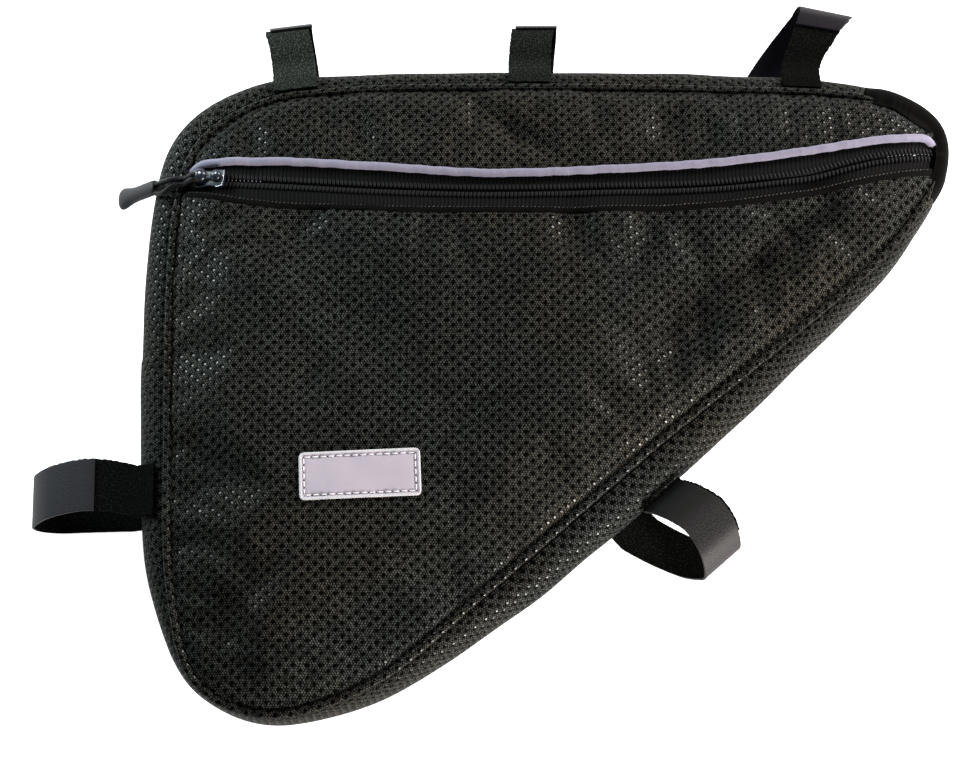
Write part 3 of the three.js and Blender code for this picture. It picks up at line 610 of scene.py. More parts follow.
def cloth_level(x, y):
    """How high the finished front cloth stands at each place."""
    levels = []
    down = Vector((0, 0, -1))
    for a, b in zip(np.atleast_1d(x), np.atleast_1d(y)):
        drops = [panel.ray_cast(Vector((a, b, 0.1)), down) for panel in (front_lower, front_upper)]
        found = [spot.z for hit, spot, _, _ in drops if hit]
        levels.append(max(found) if found else front_level(a, b)[0])
    return np.array(levels)


# Back panel: one plain piece of the patterned cloth, sewn in with the back welt. It lies flat on
# the table, and rises a little in ripples near its sewn edge.
back_cell = 5 * mm


def back_inside(x, y):
    return inside_seam(x, y) - seam_gap


back, back_edge = cut_cloth("back_cloth", back_inside, seam_low, seam_high, back_cell)
relax(back, back_edge, 6)
back_spots = spots_of(back)
back_in = inside_seam(back_spots[:, 0], back_spots[:, 1])
ripple = np.sin(back_spots[:, 0] * 95) * np.sin(back_spots[:, 1] * 80 + 1) + 1
back_spots[:, 2] = 0.2 * mm + 0.5 * mm * ripple * np.exp(-((back_in / mm - 12) / 14) ** 2)
move_spots(back, back_spots)
modify(back, "SUBSURF", levels=1, render_levels=1)
modify(back, "SOLIDIFY", thickness=panel_wall, offset=1)
back.data.materials.append(panel_cloth)
finish_mesh(back, "bag_fabric", "back_panel")


# Gusset: the strip of patterned cloth round the bag, sewn to both panels and bulging outwards.
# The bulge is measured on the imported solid, and the strip waves a little along the way.
welt_out = 2.2 * mm
gusset_foot = 4.4 * mm
gusset_wall = 1.6 * mm
tip_from = Vector((169.9, 114.9)) * mm
tip_to = Vector((195.7, 71.7)) * mm


def lay_cloth(name, columns, rows, place, length, width, closed=(False, False)):
    """A grid of cloth whose corners go where place(u, v) says, with a UV map in metres."""
    bpy.ops.object.select_all(action="DESELECT")
    bpy.ops.mesh.primitive_grid_add(
        x_subdivisions=columns, y_subdivisions=rows, size=1, calc_uvs=True)
    piece = bpy.context.object
    piece.name = name
    flat = spots_of(piece)
    move_spots(piece, place(flat[:, 0] + 0.5, flat[:, 1] + 0.5))
    shares = np.empty(len(piece.data.loops) * 2)
    layer = piece.data.uv_layers.active.data
    layer.foreach_get("uv", shares)
    layer.foreach_set("uv", (shares.reshape(-1, 2) * [length, width]).ravel())
    bpy.ops.object.mode_set(mode="EDIT")
    bpy.ops.mesh.select_all(action="SELECT")
    if any(closed):
        bpy.ops.mesh.remove_doubles(threshold=1e-6)
    bpy.ops.mesh.normals_make_consistent(inside=False)
    bpy.ops.object.mode_set(mode="OBJECT")
    return piece


def copies_along(name, unit, places):
    """Joins copies of a small unit, one at each matrix."""
    copies = []
    for matrix in places:
        copy = unit.copy()
        copy.data = unit.data.copy()
        copy.data.transform(matrix)
        bpy.context.collection.objects.link(copy)
        copies.append(copy)
    bpy.data.objects.remove(unit)
    pick_only(*copies)
    bpy.ops.object.join()
    row = bpy.context.object
    row.name = name
    return row


def seam_near(point):
    return int(np.argmin(((seam - np.array(point)) ** 2).sum(axis=1)))


def on_seam(share, start, stop):
    """Seam points, outward directions and places along the seam at shares of the way from start to
    stop.
    """
    spot = (start + share * ((stop - start) % seam_count or seam_count)) % seam_count
    low = np.floor(spot).astype(int) % seam_count
    mix = (spot - np.floor(spot))[:, None]
    point = seam[low] * (1 - mix) + seam[(low + 1) % seam_count] * mix
    out = seam_out[low] * (1 - mix) + seam_out[(low + 1) % seam_count] * mix
    out /= np.linalg.norm(out, axis=1)[:, None]
    return point, out, spot


middle_level = (seam_level + gusset_foot) / 2
bulge = np.full(seam_count, 12 * mm)
for i in range(seam_count):
    start = Vector((*(seam[i] - 1 * mm * seam_out[i]), middle_level))
    for node in ("gusset", "gusset_tip"):
        hit, spot, _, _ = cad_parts[node].ray_cast(start, Vector((*seam_out[i], 0)))
        if hit:
            bulge[i] = (spot - start).length - 1 * mm + gusset_wall
bulge = np.convolve(np.tile(bulge, 3), np.ones(25) / 25, mode="same")[seam_count:2 * seam_count]

tip_start = seam_near(tip_from)
tip_end = seam_near(tip_to)


def gusset_place(start, stop, out, drop, proud=0.0, waves=0.22 * mm):
    def place(u, v):
        point, outward, spot = on_seam(u, start, stop)
        turn = math.pi * v
        reach = np.interp(spot, np.arange(seam_count), bulge) + proud
        walk = spot / seam_count * seam_length
        wave = waves * np.sin(turn) * (
            np.sin(walk * 71 + 2 * np.sin(walk * 19)) + 0.6 * np.sin(walk * 143 + 3 * v))
        away = out + (reach - out) * np.sin(turn) ** 0.75 + wave
        front = seam_level_at(point[:, 0]) - drop
        level = front + (gusset_foot - front) * (1 - np.cos(turn)) / 2
        spots = point + outward * away[:, None]
        return np.column_stack([spots, level])
    return place


gusset_girth = 48 * mm
gusset = lay_cloth(
    "gusset_cloth", 520, 22, gusset_place(tip_start, tip_end, welt_out, 2.8 * mm),
    0.93 * seam_length, gusset_girth)
modify(gusset, "SOLIDIFY", thickness=gusset_wall * 0.7, offset=-1)
gusset.data.materials.append(strip_cloth)
finish_mesh(gusset, "bag_fabric", "gusset")


# Tip: a plain smooth strip of matte cloth that is sewn over the narrow corner. Its first rows lie
# over the front, and it puckers where it turns.
plain_cloth, tree, shader = new_material("plain_cloth", roughness=0.8, specular=0.035)
grain = noise_on(tree, place_source(tree, "UV"), 1400)
raise_bump(tree, shader, grain, 0.25, 0.0002)
shader.inputs["Base Color"].default_value = (0.0009, 0.0009, 0.0009, 1)

tip_overlap = 0.15
tip_width = 65 * mm
tip_place = gusset_place(tip_end, tip_start, seam_gap, -0.6 * mm, proud=0.8 * mm, waves=0.0)


def puckered(u, v):
    """The strip round the corner, whose first rows lie over the corner of the front."""
    spots = tip_place(u, np.clip((v - tip_overlap) / (1 - tip_overlap), 0, 1))
    point, outward, _ = on_seam(u, tip_end, tip_start)
    lap = np.clip(1 - v / tip_overlap, 0, 1)
    width = (0.5 + 4.2 * np.exp(-((u - 0.6) / 0.13) ** 2)) * mm
    inner = point - outward * (width * lap)[:, None]
    over = lap > 0
    spots[over, :2] = inner[over] + outward[over] * seam_gap
    spots[over, 2] = cloth_level(*inner[over].T) + (0.9 - 0.6 * lap[over] ** 2) * mm
    pucker = 0.35 * np.sin(u * 37 + 2.6 * np.sin(u * 11 + 2))
    pucker += 0.2 * np.sin(u * 83 + 4 * np.sin(u * 17))
    pucker -= 1.5 * np.exp(-((u - 0.42) / 0.06) ** 2)
    spots[:, 2] += mm * pucker * np.exp(-((v - 0.06) / 0.2) ** 2)
    flush = np.exp(-(u / 0.09) ** 2) + np.exp(-((1 - u) / 0.09) ** 2)
    spots[:, :2] -= outward * (1.1 * mm * flush)[:, None]
    spots[:, 2] -= 1.2 * mm * flush * (v < 0.5)
    return spots


tip = lay_cloth("tip_cloth", 120, 40, puckered, tip_width, gusset_girth)
modify(tip, "SOLIDIFY", thickness=gusset_wall * 0.8, offset=-1)
tip.data.materials.append(plain_cloth)
finish_mesh(tip, "smooth_fabric", "gusset_tip")


# Hem: the top edge of the lower panel, folded under beside the zip and sewn down with fine
# thread. It is a plain dull strip that lies on the puffed panel, with a row of short stitches.
hem_left, hem_right = zip_ends("edge", 0.8 * mm)
hem_length = 0.32
hem_width = 2.9 * mm
hem_wall = 0.5 * mm
hem_fold = np.array([(0.1, -1.4), (0.5, -0.5), (0.3, 0.4), (-0.5, 0.75), (-1.8, 0.7), (-3.1, 0.1)])
hem_rows = even_line(smooth_line(hem_fold * mm), 13)[0]
hem_steps = np.linspace(hem_left, hem_right, 120)
hem_foot = zip_line("edge", hem_steps, -hem_width)
hem_rise = np.maximum(cloth_level(hem_steps, hem_foot) - front_level(hem_steps, hem_foot), 0)


def hem_place(u, v):
    x = hem_left + (hem_right - hem_left) * u
    across, up = (np.interp(v, np.linspace(0, 1, len(hem_rows)), column) for column in hem_rows.T)
    y = zip_line("edge", x) + across
    rise = np.interp(x, hem_steps, hem_rise) * np.clip(-across / hem_width, 0, 1) ** 0.7
    return np.column_stack([x, y, front_level(x, y) + up + rise])


hem_cloth, tree, shader = new_material("hem_cloth", roughness=0.8, specular=0.03)
hem_grain = noise_on(tree, place_source(tree, "UV"), 700)
paint(tree, shader, hem_grain, (0.0008, 0.0008, 0.0008), (0.006, 0.006, 0.0055))
raise_bump(tree, shader, hem_grain, 0.4, 0.0003)
hem = lay_cloth("lower_hem_cloth", 520, 12, hem_place, hem_length, 5 * mm)
modify(hem, "SOLIDIFY", thickness=hem_wall, offset=-1)
hem.data.materials.append(hem_cloth)
finish_mesh(hem, "bag_fabric")

hem_stitch_size = (0.62 * mm, 0.2 * mm, 0.24 * mm)
hem_stitch_pitch = 1.82 * mm
hem_stitch_turn = 0.45


def bead(size):
    """A small round seed for stitches and teeth, from half its length, width and height."""
    bpy.ops.mesh.primitive_uv_sphere_add(segments=8, ring_count=6, radius=1)
    seed = bpy.context.object
    seed.data.transform(Matrix.Diagonal((*size, 1)))
    return seed


hem_thread, tree, shader = new_material("hem_thread", roughness=0.5, specular=0.3)
ply = noise_on(tree, place_source(tree, "Object"), 600)
ply = math_on(tree, "MULTIPLY_ADD", ply, 3.0, -1.0, clamp=True)
paint(tree, shader, ply, (0.012, 0.012, 0.011), (0.09, 0.087, 0.08))
hem_stitch_x = np.arange(hem_left + 2 * mm, hem_right - 2 * mm, hem_stitch_pitch)
hem_stitch_y = zip_line("edge", hem_stitch_x, -0.5 * mm)
hem_stitch_z = front_level(hem_stitch_x, hem_stitch_y) + 0.85 * mm
hem_stitches = copies_along("hem_stitches", bead(hem_stitch_size), [
    Matrix.Translation(place) @ Matrix.Rotation(hem_stitch_turn, 4, "Z")
    for place in zip(hem_stitch_x, hem_stitch_y, hem_stitch_z)])
hem_stitches.data.materials.append(hem_thread)
finish_mesh(hem_stitches, "bag_fabric")


# Welts: a thin cord rolled in a strip of the patterned cloth and sewn into the seam. The front
# one runs from one end of the tip to the other, and the back one goes all the way round.
welt_radius = 1.9 * mm
welt_girth = 12 * mm


def roll_place(path, radius, crease=None):
    """Places for a tube round a path of points, u along it and v round it."""
    path = np.asarray(path)
    ahead = np.gradient(path, axis=0)
    ahead /= np.linalg.norm(ahead, axis=1)[:, None]
    side = np.cross(ahead, [0, 0, 1])
    side /= np.linalg.norm(side, axis=1)[:, None]
    over = np.cross(side, ahead)

    def place(u, v):
        at = u * (len(path) - 1)
        spot, left, top = (
            np.stack([np.interp(at, np.arange(len(path)), axis) for axis in rows.T], axis=1)
            for rows in (path, side, over))
        turn = 2 * math.pi * v
        reach = radius + (crease(u, v) if crease else 0)
        return spot + left * (reach * np.cos(turn))[:, None] + top * (reach * np.sin(turn))[:, None]
    return place


def close_ends(piece):
    pick_only(piece)
    bpy.ops.object.mode_set(mode="EDIT")
    bpy.ops.mesh.select_mode(type="EDGE")
    bpy.ops.mesh.select_all(action="DESELECT")
    bpy.ops.mesh.select_non_manifold()
    bpy.ops.mesh.edge_face_add()
    bpy.ops.mesh.select_all(action="SELECT")
    bpy.ops.mesh.normals_make_consistent(inside=False)
    bpy.ops.object.mode_set(mode="OBJECT")


def welt_path(start, stop, level_of, count):
    point, outward, _ = on_seam(np.linspace(0, 1, count), start, stop)
    return np.column_stack([point + outward * welt_out, level_of(point[:, 0])])


def welt_crease(u, v):
    walk = u * seam_length
    tapered = np.exp(-(u / 0.007) ** 2) + np.exp(-((1 - u) / 0.007) ** 2)
    crease = np.sin(walk * 900 + 4 * np.sin(walk * 170) + 2 * math.pi * v)
    return 0.12 * mm * crease - 1.4 * mm * tapered


front_welt_path = welt_path(
    (tip_start - 6) % seam_count, (tip_end + 6) % seam_count,
    lambda x: seam_level_at(x) - 0.6 * mm, 900)
front_welt = lay_cloth(
    "front_welt_cloth", 900, 14, roll_place(front_welt_path, welt_radius, welt_crease),
    0.93 * seam_length, welt_girth, closed=(False, True))
close_ends(front_welt)
front_welt.data.materials.append(strip_cloth)
finish_mesh(front_welt, "bag_fabric", "front_welt")

back_welt_path = welt_path(0, 0, lambda x: 0 * x + 2.2 * mm, 901)
back_welt = lay_cloth(
    "back_welt_cloth", 700, 10, roll_place(back_welt_path, welt_radius), seam_length, welt_girth,
    closed=(True, True))
back_welt.data.materials.append(strip_cloth)
finish_mesh(back_welt, "bag_fabric", "back_welt")


# Reflective piping: pale grey reflective cloth over a round cord, in fine cross wrinkles. It is
# sewn along the lower edge of the upper panel, and its ends turn down into the seam.
piping_radius = 1.85 * mm
piping_girth = 11.6 * mm
piping_length = 0.34

piping_left, piping_right = zip_ends("piping", -1.2 * mm)
piping_x = np.linspace(piping_left, piping_right, 420)
piping_y = zip_line("piping", piping_x)
piping_z = front_level(piping_x, piping_y) - 0.4 * mm
piping_tuck = np.exp(-((piping_x - piping_left) / (4 * mm)) ** 2) + np.exp(
    -((piping_x - piping_right) / (3 * mm)) ** 2)
piping_y -= 2.2 * mm * piping_tuck
piping_z -= 1.2 * mm * piping_tuck
piping_path = even_line(np.column_stack([piping_x, piping_y, piping_z]), 420)[0]


def piping_crease(u, v):
    walk = u * piping_length * 1000
    fine = np.sin(walk * 1.1 + 2.4 * np.sin(walk * 0.23) + 1.6 * np.sin(2 * math.pi * v))
    coarse = np.sin(walk * 0.42 + 2 * np.sin(walk * 0.11) + 2 * math.pi * v)
    return 0.05 * mm * fine + 0.1 * mm * coarse


piping = lay_cloth(
    "piping_cloth", 1100, 18, roll_place(piping_path, piping_radius, piping_crease),
    piping_length, piping_girth, closed=(False, True))
close_ends(piping)
reflective, tree, shader = new_material("reflective_cloth", roughness=0.75, specular=0.2)
place = place_source(tree, "UV")
paint(tree, shader, noise_on(tree, place, 900), (0.209, 0.2, 0.276), (0.272, 0.256, 0.341))
squeezed = wire(tree, "VectorMath", place, (1.0, 0.25, 1.0), operation="MULTIPLY")
raise_bump(tree, shader, noise_on(tree, squeezed, 650, detail=3), 0.6, 0.0005)
piping.data.materials.append(reflective)
finish_mesh(piping, "reflective_piping", "reflective_piping")


# Zip tapes: black herringbone tape of polyester on both sides of the coil. It is sewn under the
# piping above and under the hem below, and lies a little lower than the cloth.
tape_sink = 2.6 * mm
tape_wall = 0.8 * mm
tape_length = 0.33
tape_width = 8 * mm


def waves_on(tree, place, scale, direction, distortion=0.0):
    """Even bands across the surface, as a share from 0 to 1."""
    bands = wire(tree, "TexWave", place, wave_type="BANDS", bands_direction=direction)
    bands.node.inputs["Scale"].default_value = scale
    bands.node.inputs["Distortion"].default_value = distortion
    return bands


tape_cloth, tree, shader = new_material("tape_weave", roughness=0.7, specular=0.05)
ribs = waves_on(tree, place_source(tree, "UV"), 180, "X", distortion=1.5)
paint(tree, shader, ribs, (0.004, 0.004, 0.0042), (0.011, 0.011, 0.0115))
raise_bump(tree, shader, ribs, 0.5, 0.0002)


def tape_place(low_name, low_shift, high_name, high_shift):
    left, right = zip_ends("zip", 0.6 * mm)
    left, right = left - 2 * mm, right + 2 * mm

    def place(u, v):
        x = left + (right - left) * u
        low = zip_line(low_name, x, low_shift)
        high = zip_line(high_name, x, high_shift)
        y = low + (high - low) * v
        return np.column_stack([x, y, front_level(x, y) - tape_sink])
    return place


for name, row in (
    ("zip_tape_upper", ("zip", seam_gap, "piping", 4 * mm)),
    ("zip_tape_lower", ("edge", -4 * mm, "zip", -seam_gap)),
):
    tape = lay_cloth(name + "_weave", 220, 6, tape_place(*row), tape_length, tape_width)
    modify(tape, "SOLIDIFY", thickness=tape_wall, offset=-1)
    tape.data.materials.append(tape_cloth)
    finish_mesh(tape, "zip_tape", name)


# Zip coil: two rows of black nylon loops, sewn to the tapes, that meet in the middle. One loop is
# made and copied along the zip. Near both ends pale beads on the middle are painted highlights.
tooth_pitch = 1.85 * mm
tooth_size = (0.72 * mm, 1.5 * mm, 0.36 * mm)
glint_bead_radius = 0.25 * mm
slider_half = 6.9 * mm

coil_nylon, tree, shader = new_material("coil_nylon", roughness=0.6, specular=0.12)
shader.inputs["Base Color"].default_value = (0.0095, 0.0095, 0.0115, 1)
raise_bump(tree, shader, noise_on(tree, place_source(tree, "Object"), 2500), 0.15, 0.0001)

zip_right = zip_ends("zip", 0.6 * mm)[1]
slider_x = zip_ends("zip", 0)[0] + 4.6 * mm + slider_half
tooth_x = np.arange(slider_x + slider_half, zip_right, tooth_pitch)
tooth_turn = np.arctan2(
    zip_line("zip", tooth_x + mm) - zip_line("zip", tooth_x - mm), 2 * mm)
tooth_places = []
for row, (side, shift) in enumerate(((-1, 0.0), (1, 0.5))):
    for x, turn in zip(tooth_x + shift * tooth_pitch, tooth_turn):
        if x > zip_right:
            continue
        y = zip_line("zip", np.array([x]), side * 1.8 * mm)
        z = front_level(np.array([x]), y)[0] - 2.2 * mm
        tooth_places.append(
            Matrix.Translation((x, y[0], z)) @ Matrix.Rotation(turn + side * 0.12, 4, "Z"))
glint_bead_places = []
coil_left = slider_x + slider_half
for first, last in ((coil_left, coil_left + 17 * mm), (zip_right - 24 * mm, zip_right)):
    for x in np.arange(first + mm, last, tooth_pitch):
        y = zip_line("zip", np.array([x]))
        z = front_level(np.array([x]), y)[0] - 1.75 * mm
        glint_bead_places.append(Matrix.Translation((x, y[0], z)))
teeth = copies_along("zip_coil", bead(tooth_size), tooth_places)
teeth.data.materials.append(coil_nylon)
finish_mesh(teeth, "zip_coil", "zip_chain")

# Pale grey beads: painted highlights where the coil heads glint, not the colour of the nylon.
glint_paint, tree, shader = new_material("glint_paint", roughness=0.3, specular=0.6)
glint_paint_grain = noise_on(tree, place_source(tree, "Object"), 400)
paint(tree, shader, glint_paint_grain, (0.03, 0.03, 0.035), (0.4, 0.38, 0.42))
bpy.ops.mesh.primitive_uv_sphere_add(segments=10, ring_count=8, radius=glint_bead_radius)
glint_beads = copies_along("zip_coil_glint_beads", bpy.context.object, glint_bead_places)
glint_beads.data.materials.append(glint_paint)
finish_mesh(glint_beads, "zip_coil")


# Slider: a die-cast body under glossy black enamel that rides on the coil. A raised bridge with a
# round knob at each end holds the pull. A bright metal strip on one edge is a painted highlight.
slider_size = (13.8 * mm, 9.2 * mm, 2.4 * mm)
bridge_radius = 1.0 * mm
knob_rows = ((-4.4, 3.5, 2.4), (3.4, 2.7, 1.9))
glint_strip_radius = 0.24 * mm

slider_enamel, tree, shader = new_material("slider_enamel", roughness=0.38, specular=0.12)
enamel_flow = noise_on(tree, place_source(tree, "Object"), 300)
paint(tree, shader, enamel_flow, (0.002, 0.003, 0.006), (0.006, 0.009, 0.015))
raise_bump(tree, shader, enamel_flow, 0.05, 0.0002)
shader.inputs["Coat Weight"].default_value = 0.5
shader.inputs["Coat Roughness"].default_value = 0.2

slider_y = zip_line("zip", np.array([slider_x]))[0]
slider_z = front_level(slider_x, slider_y)[0]
slider_ends = []
for x in (slider_x - slider_half, slider_x + slider_half):
    end = Vector((x, *zip_line("zip", np.array([x])), 0))
    end.z = front_level(end.x, end.y)[0]
    slider_ends.append(end)
slider_run = slider_ends[1] - slider_ends[0]
slider_turn = Euler((
    0, -math.atan2(slider_run.z, slider_run.x), math.atan2(slider_run.y, slider_run.x)))
slider_pose = Matrix.Translation((slider_x, slider_y, slider_z)) @ slider_turn.to_matrix().to_4x4()

bpy.ops.object.select_all(action="DESELECT")
bpy.ops.mesh.primitive_cube_add(size=1)
slider = bpy.context.object
slider.name = "slider_body"
bpy.ops.object.mode_set(mode="EDIT")
bpy.ops.mesh.subdivide(number_cuts=5)
bpy.ops.object.mode_set(mode="OBJECT")
spots = spots_of(slider)
waist = 1 - 0.26 * np.exp(-(spots[:, 0] / 0.24) ** 2)
spots[:, 1] *= waist
nose = np.clip((np.abs(spots[:, 0]) - 0.34) / 0.16, 0, 1)
spots[:, 1] *= 1 - 0.14 * nose
dome = 1 - 0.5 * (2 * spots[:, 0]) ** 2 * 0.35 - 0.3 * (2 * spots[:, 1]) ** 2
spots[:, 2] = np.where(spots[:, 2] > 0, spots[:, 2] * dome, spots[:, 2])
spots *= slider_size
spots[:, 2] += 0.1 * mm
move_spots(slider, spots)
modify(slider, "BEVEL", width=0.5 * mm, segments=2, limit_method="ANGLE")
modify(slider, "SUBSURF", levels=2, render_levels=2)
bridge_path = smooth_line(np.array([
    (-4.6, 0, 0.9), (-4.2, 0, 1.6), (-3.0, 0, 1.8), (0, 0, 1.7), (2.2, 0, 1.6), (3.2, 0, 1.4),
    (3.4, 0, 0.9)]) * mm)


def bridge_swell(u, v):
    return 0.4 * mm * np.exp(-((np.abs(u - 0.5) - 0.33) / 0.12) ** 2)


bridge = lay_cloth(
    "slider_bridge", 60, 14, roll_place(bridge_path, bridge_radius, bridge_swell), 14 * mm, 6 * mm,
    closed=(False, True))
close_ends(bridge)
knobs = []
for x, radius, z in knob_rows:
    bpy.ops.mesh.primitive_uv_sphere_add(segments=32, ring_count=18, radius=radius * mm)
    knob = bpy.context.object
    knob_spot = Matrix.Translation((x * mm, 0.9 * mm, z * mm))
    knob.data.transform(knob_spot @ Matrix.Diagonal((1, 1.0, 0.9, 1)))
    knob.data.polygons.foreach_set("use_smooth", [True] * len(knob.data.polygons))
    knobs.append(knob)
pick_only(slider, bridge, *knobs)
bpy.ops.object.join()
slider.data.transform(slider_pose)
slider.data.materials.append(slider_enamel)
finish_mesh(slider, "slider_metal", "zip_slider")
gloss = bpy.data.collections.new("slider_gloss")
gloss.objects.link(slider)
bpy.data.objects["slider_window"].light_linking.receiver_collection = gloss

# Painted highlight: a thin strip of bright metal along the lower right edge of the plate, where the
# edge glints.
glint_strip_metal, tree, shader = new_material("glint_strip_metal", roughness=0.3, specular=0.6, metallic=1.0)
glint_strip_grain = noise_on(tree, place_source(tree, "Object"), 700)
paint(tree, shader, glint_strip_grain, (0.15, 0.16, 0.18), (0.75, 0.77, 0.8))
glint_strip_path = smooth_line(np.array([
    (6.5, 1.6, 1.0), (6.7, 0, 1.05), (6.6, -2.4, 1.0), (5.9, -3.5, 0.95), (4.4, -3.9, 0.95),
    (3.2, -3.9, 0.8)]) * mm)
glint_strip = lay_cloth(
    "slider_glint_strip", 60, 8, roll_place(glint_strip_path, glint_strip_radius), 14 * mm, 1.5 * mm,
    closed=(False, True))
close_ends(glint_strip)
glint_strip.data.transform(slider_pose)
glint_strip.data.materials.append(glint_strip_metal)
finish_mesh(glint_strip, "slider_metal")


# Pull: one braided cord, doubled through the bridge of the slider. Both its ends are moulded into
# a soft rubber grip that hangs over the edge of the bag.
cord_radius = 1.2 * mm
cord_length = 85 * mm
side_spot = seam_near((seam_left, slider_y))
grip_top = Vector((seam[side_spot][0] - bulge[side_spot] + 2.6 * mm, slider_y, 32.8 * mm))
welt_x = seam[side_spot][0] - welt_out
bow_under = slider_z + 2.35 * mm
over_welt = seam_level + 3.3 * mm
cord_run = [
    (grip_top.x - 0.6 * mm, (0.9, -3.2), grip_top.z - 0.2 * mm),
    (grip_top.x * 0.7 + welt_x * 0.3, (1.0, -4.3), grip_top.z * 0.6 + over_welt * 0.4 + 0.9 * mm),
    (grip_top.x * 0.35 + welt_x * 0.65, (1.1, -2.3), grip_top.z * 0.2 + over_welt * 0.8 + 0.9 * mm),
    (welt_x + 1.5 * mm, (1.15, -1.3), over_welt),
    (slider_x - slider_half - 1.2 * mm, (1.05, -1.15), bow_under + 0.3 * mm),
    (slider_x - 5.6 * mm, (1.0, -1.0), bow_under),
]
cord_points = [(x, slider_y + sides[0] * mm, z) for x, sides, z in cord_run]
cord_points += [(slider_x - 4.6 * mm, slider_y, bow_under)]
cord_points += [(x, slider_y + sides[1] * mm, z) for x, sides, z in cord_run[::-1]]
cord_path = even_line(smooth_line(cord_points), 160)[0]

braid, tree, shader = new_material("cord_braid", roughness=0.5, specular=0.14)
plait = waves_on(tree, place_source(tree, "UV"), 420, "DIAGONAL")
paint(tree, shader, plait, (0.0008, 0.001, 0.0015), (0.0045, 0.0054, 0.007))
raise_bump(tree, shader, plait, 0.6, 0.0002)

cord = lay_cloth(
    "pull_cord_braid", 260, 12, roll_place(cord_path, cord_radius), cord_length, 5 * mm,
    closed=(False, True))
close_ends(cord)
cord.data.materials.append(braid)
finish_mesh(cord, "pull_cord", "pull_cord")

grip_length = 27 * mm
grip_slope = math.radians(42)
grip_rows = [
    (0.0, 8.0, 5.4), (0.04, 9.0, 6.0), (0.14, 9.6, 6.2), (0.3, 9.6, 6.2), (0.5, 9.2, 6.2),
    (0.66, 9.8, 6.2), (0.78, 12.2, 6.4), (0.87, 13.8, 6.4), (0.94, 13.6, 6.0), (0.985, 11.4, 5.0),
    (1.0, 8.4, 3.6)]
grip_rubber, tree, shader = new_material("grip_rubber", roughness=0.5, specular=0.2)
rubber_grain = noise_on(tree, place_source(tree, "Object"), 1500)
paint(tree, shader, rubber_grain, (0.0085, 0.0068, 0.0092), (0.0135, 0.011, 0.0145))
raise_bump(tree, shader, rubber_grain, 0.2, 0.0002)

bpy.ops.object.select_all(action="DESELECT")
bpy.ops.mesh.primitive_plane_add(size=1)
grip = bpy.context.object
grip.name = "pull_grip_rubber"
upright = Matrix.Rotation(math.pi / 2, 4, "Y")
grip.data.transform(Matrix.Diagonal((1, grip_rows[0][1] * mm, grip_rows[0][2] * mm, 1)) @ upright)
bpy.ops.object.mode_set(mode="EDIT")
bpy.ops.mesh.select_all(action="SELECT")
for before, after in zip(grip_rows, grip_rows[1:]):
    bpy.ops.mesh.extrude_region_move(
        TRANSFORM_OT_translate={"value": ((after[0] - before[0]) * grip_length, 0, 0)})
    bpy.ops.transform.resize(
        value=(1, after[1] / before[1], after[2] / before[2]),
        center_override=(after[0] * grip_length, 0, 0))
bpy.ops.mesh.select_all(action="SELECT")
bpy.ops.mesh.normals_make_consistent(inside=False)
bpy.ops.object.mode_set(mode="OBJECT")
modify(grip, "SUBSURF", levels=1, render_levels=1)
modify(grip, "SMOOTH", factor=0.5, iterations=2)
modify(grip, "SUBSURF", levels=2, render_levels=2)
grip_turn = Matrix.Rotation(math.pi, 4, "Z") @ Matrix.Rotation(grip_slope, 4, "Y")
grip.data.transform(Matrix.Translation(grip_top) @ grip_turn)
grip.data.materials.append(grip_rubber)
finish_mesh(grip, "pull_rubber", "pull_grip")


# Label: a soft pale patch of moulded plastic with a raised rim. It is sewn on the lower panel with
# a border of pale stitches, with a needle hole between each two, and its face is plain.
label_middle = (-60.4 * mm, -64.4 * mm)
label_size = (52.4 * mm, 21 * mm)
label_turn = math.radians(2.6)
label_corner = 2.5 * mm
label_wall = 0.9 * mm
stitch_inset = 2.2 * mm
stitch_pitch = 3.4 * mm
stitch_size = (1.3 * mm, 0.27 * mm, 0.27 * mm)
hole_radius = 0.27 * mm


def label_spot(a, b):
    x = label_middle[0] + a * math.cos(label_turn) - b * math.sin(label_turn)
    y = label_middle[1] + a * math.sin(label_turn) + b * math.cos(label_turn)
    return x, y


def label_place(u, v):
    half = np.array(label_size) / 2
    flat = np.column_stack([u - 0.5, v - 0.5]) * label_size
    over = np.maximum(np.abs(flat) - (half - label_corner), 0)
    longest = over.max(axis=1)
    turned = over * (longest / np.maximum(np.hypot(*over.T), 1e-9))[:, None]
    flat = np.sign(flat) * (np.minimum(np.abs(flat), half - label_corner) + turned)
    edge = np.minimum(half[0] - np.abs(flat[:, 0]), half[1] - np.abs(flat[:, 1])) / mm
    rim = 0.22 * mm * np.exp(-((edge - 0.7) / 0.6) ** 4)
    channel = -0.22 * mm * np.exp(-((edge - 2.2) / 0.8) ** 2)
    channel += 0.12 * mm * np.sin(flat[:, 0] * 430) * np.exp(-((edge - 2.2) / 1.6) ** 2)
    x, y = label_spot(flat[:, 0], flat[:, 1])
    return np.column_stack([x, y, cloth_level(x, y) + 1.0 * mm + rim + channel])


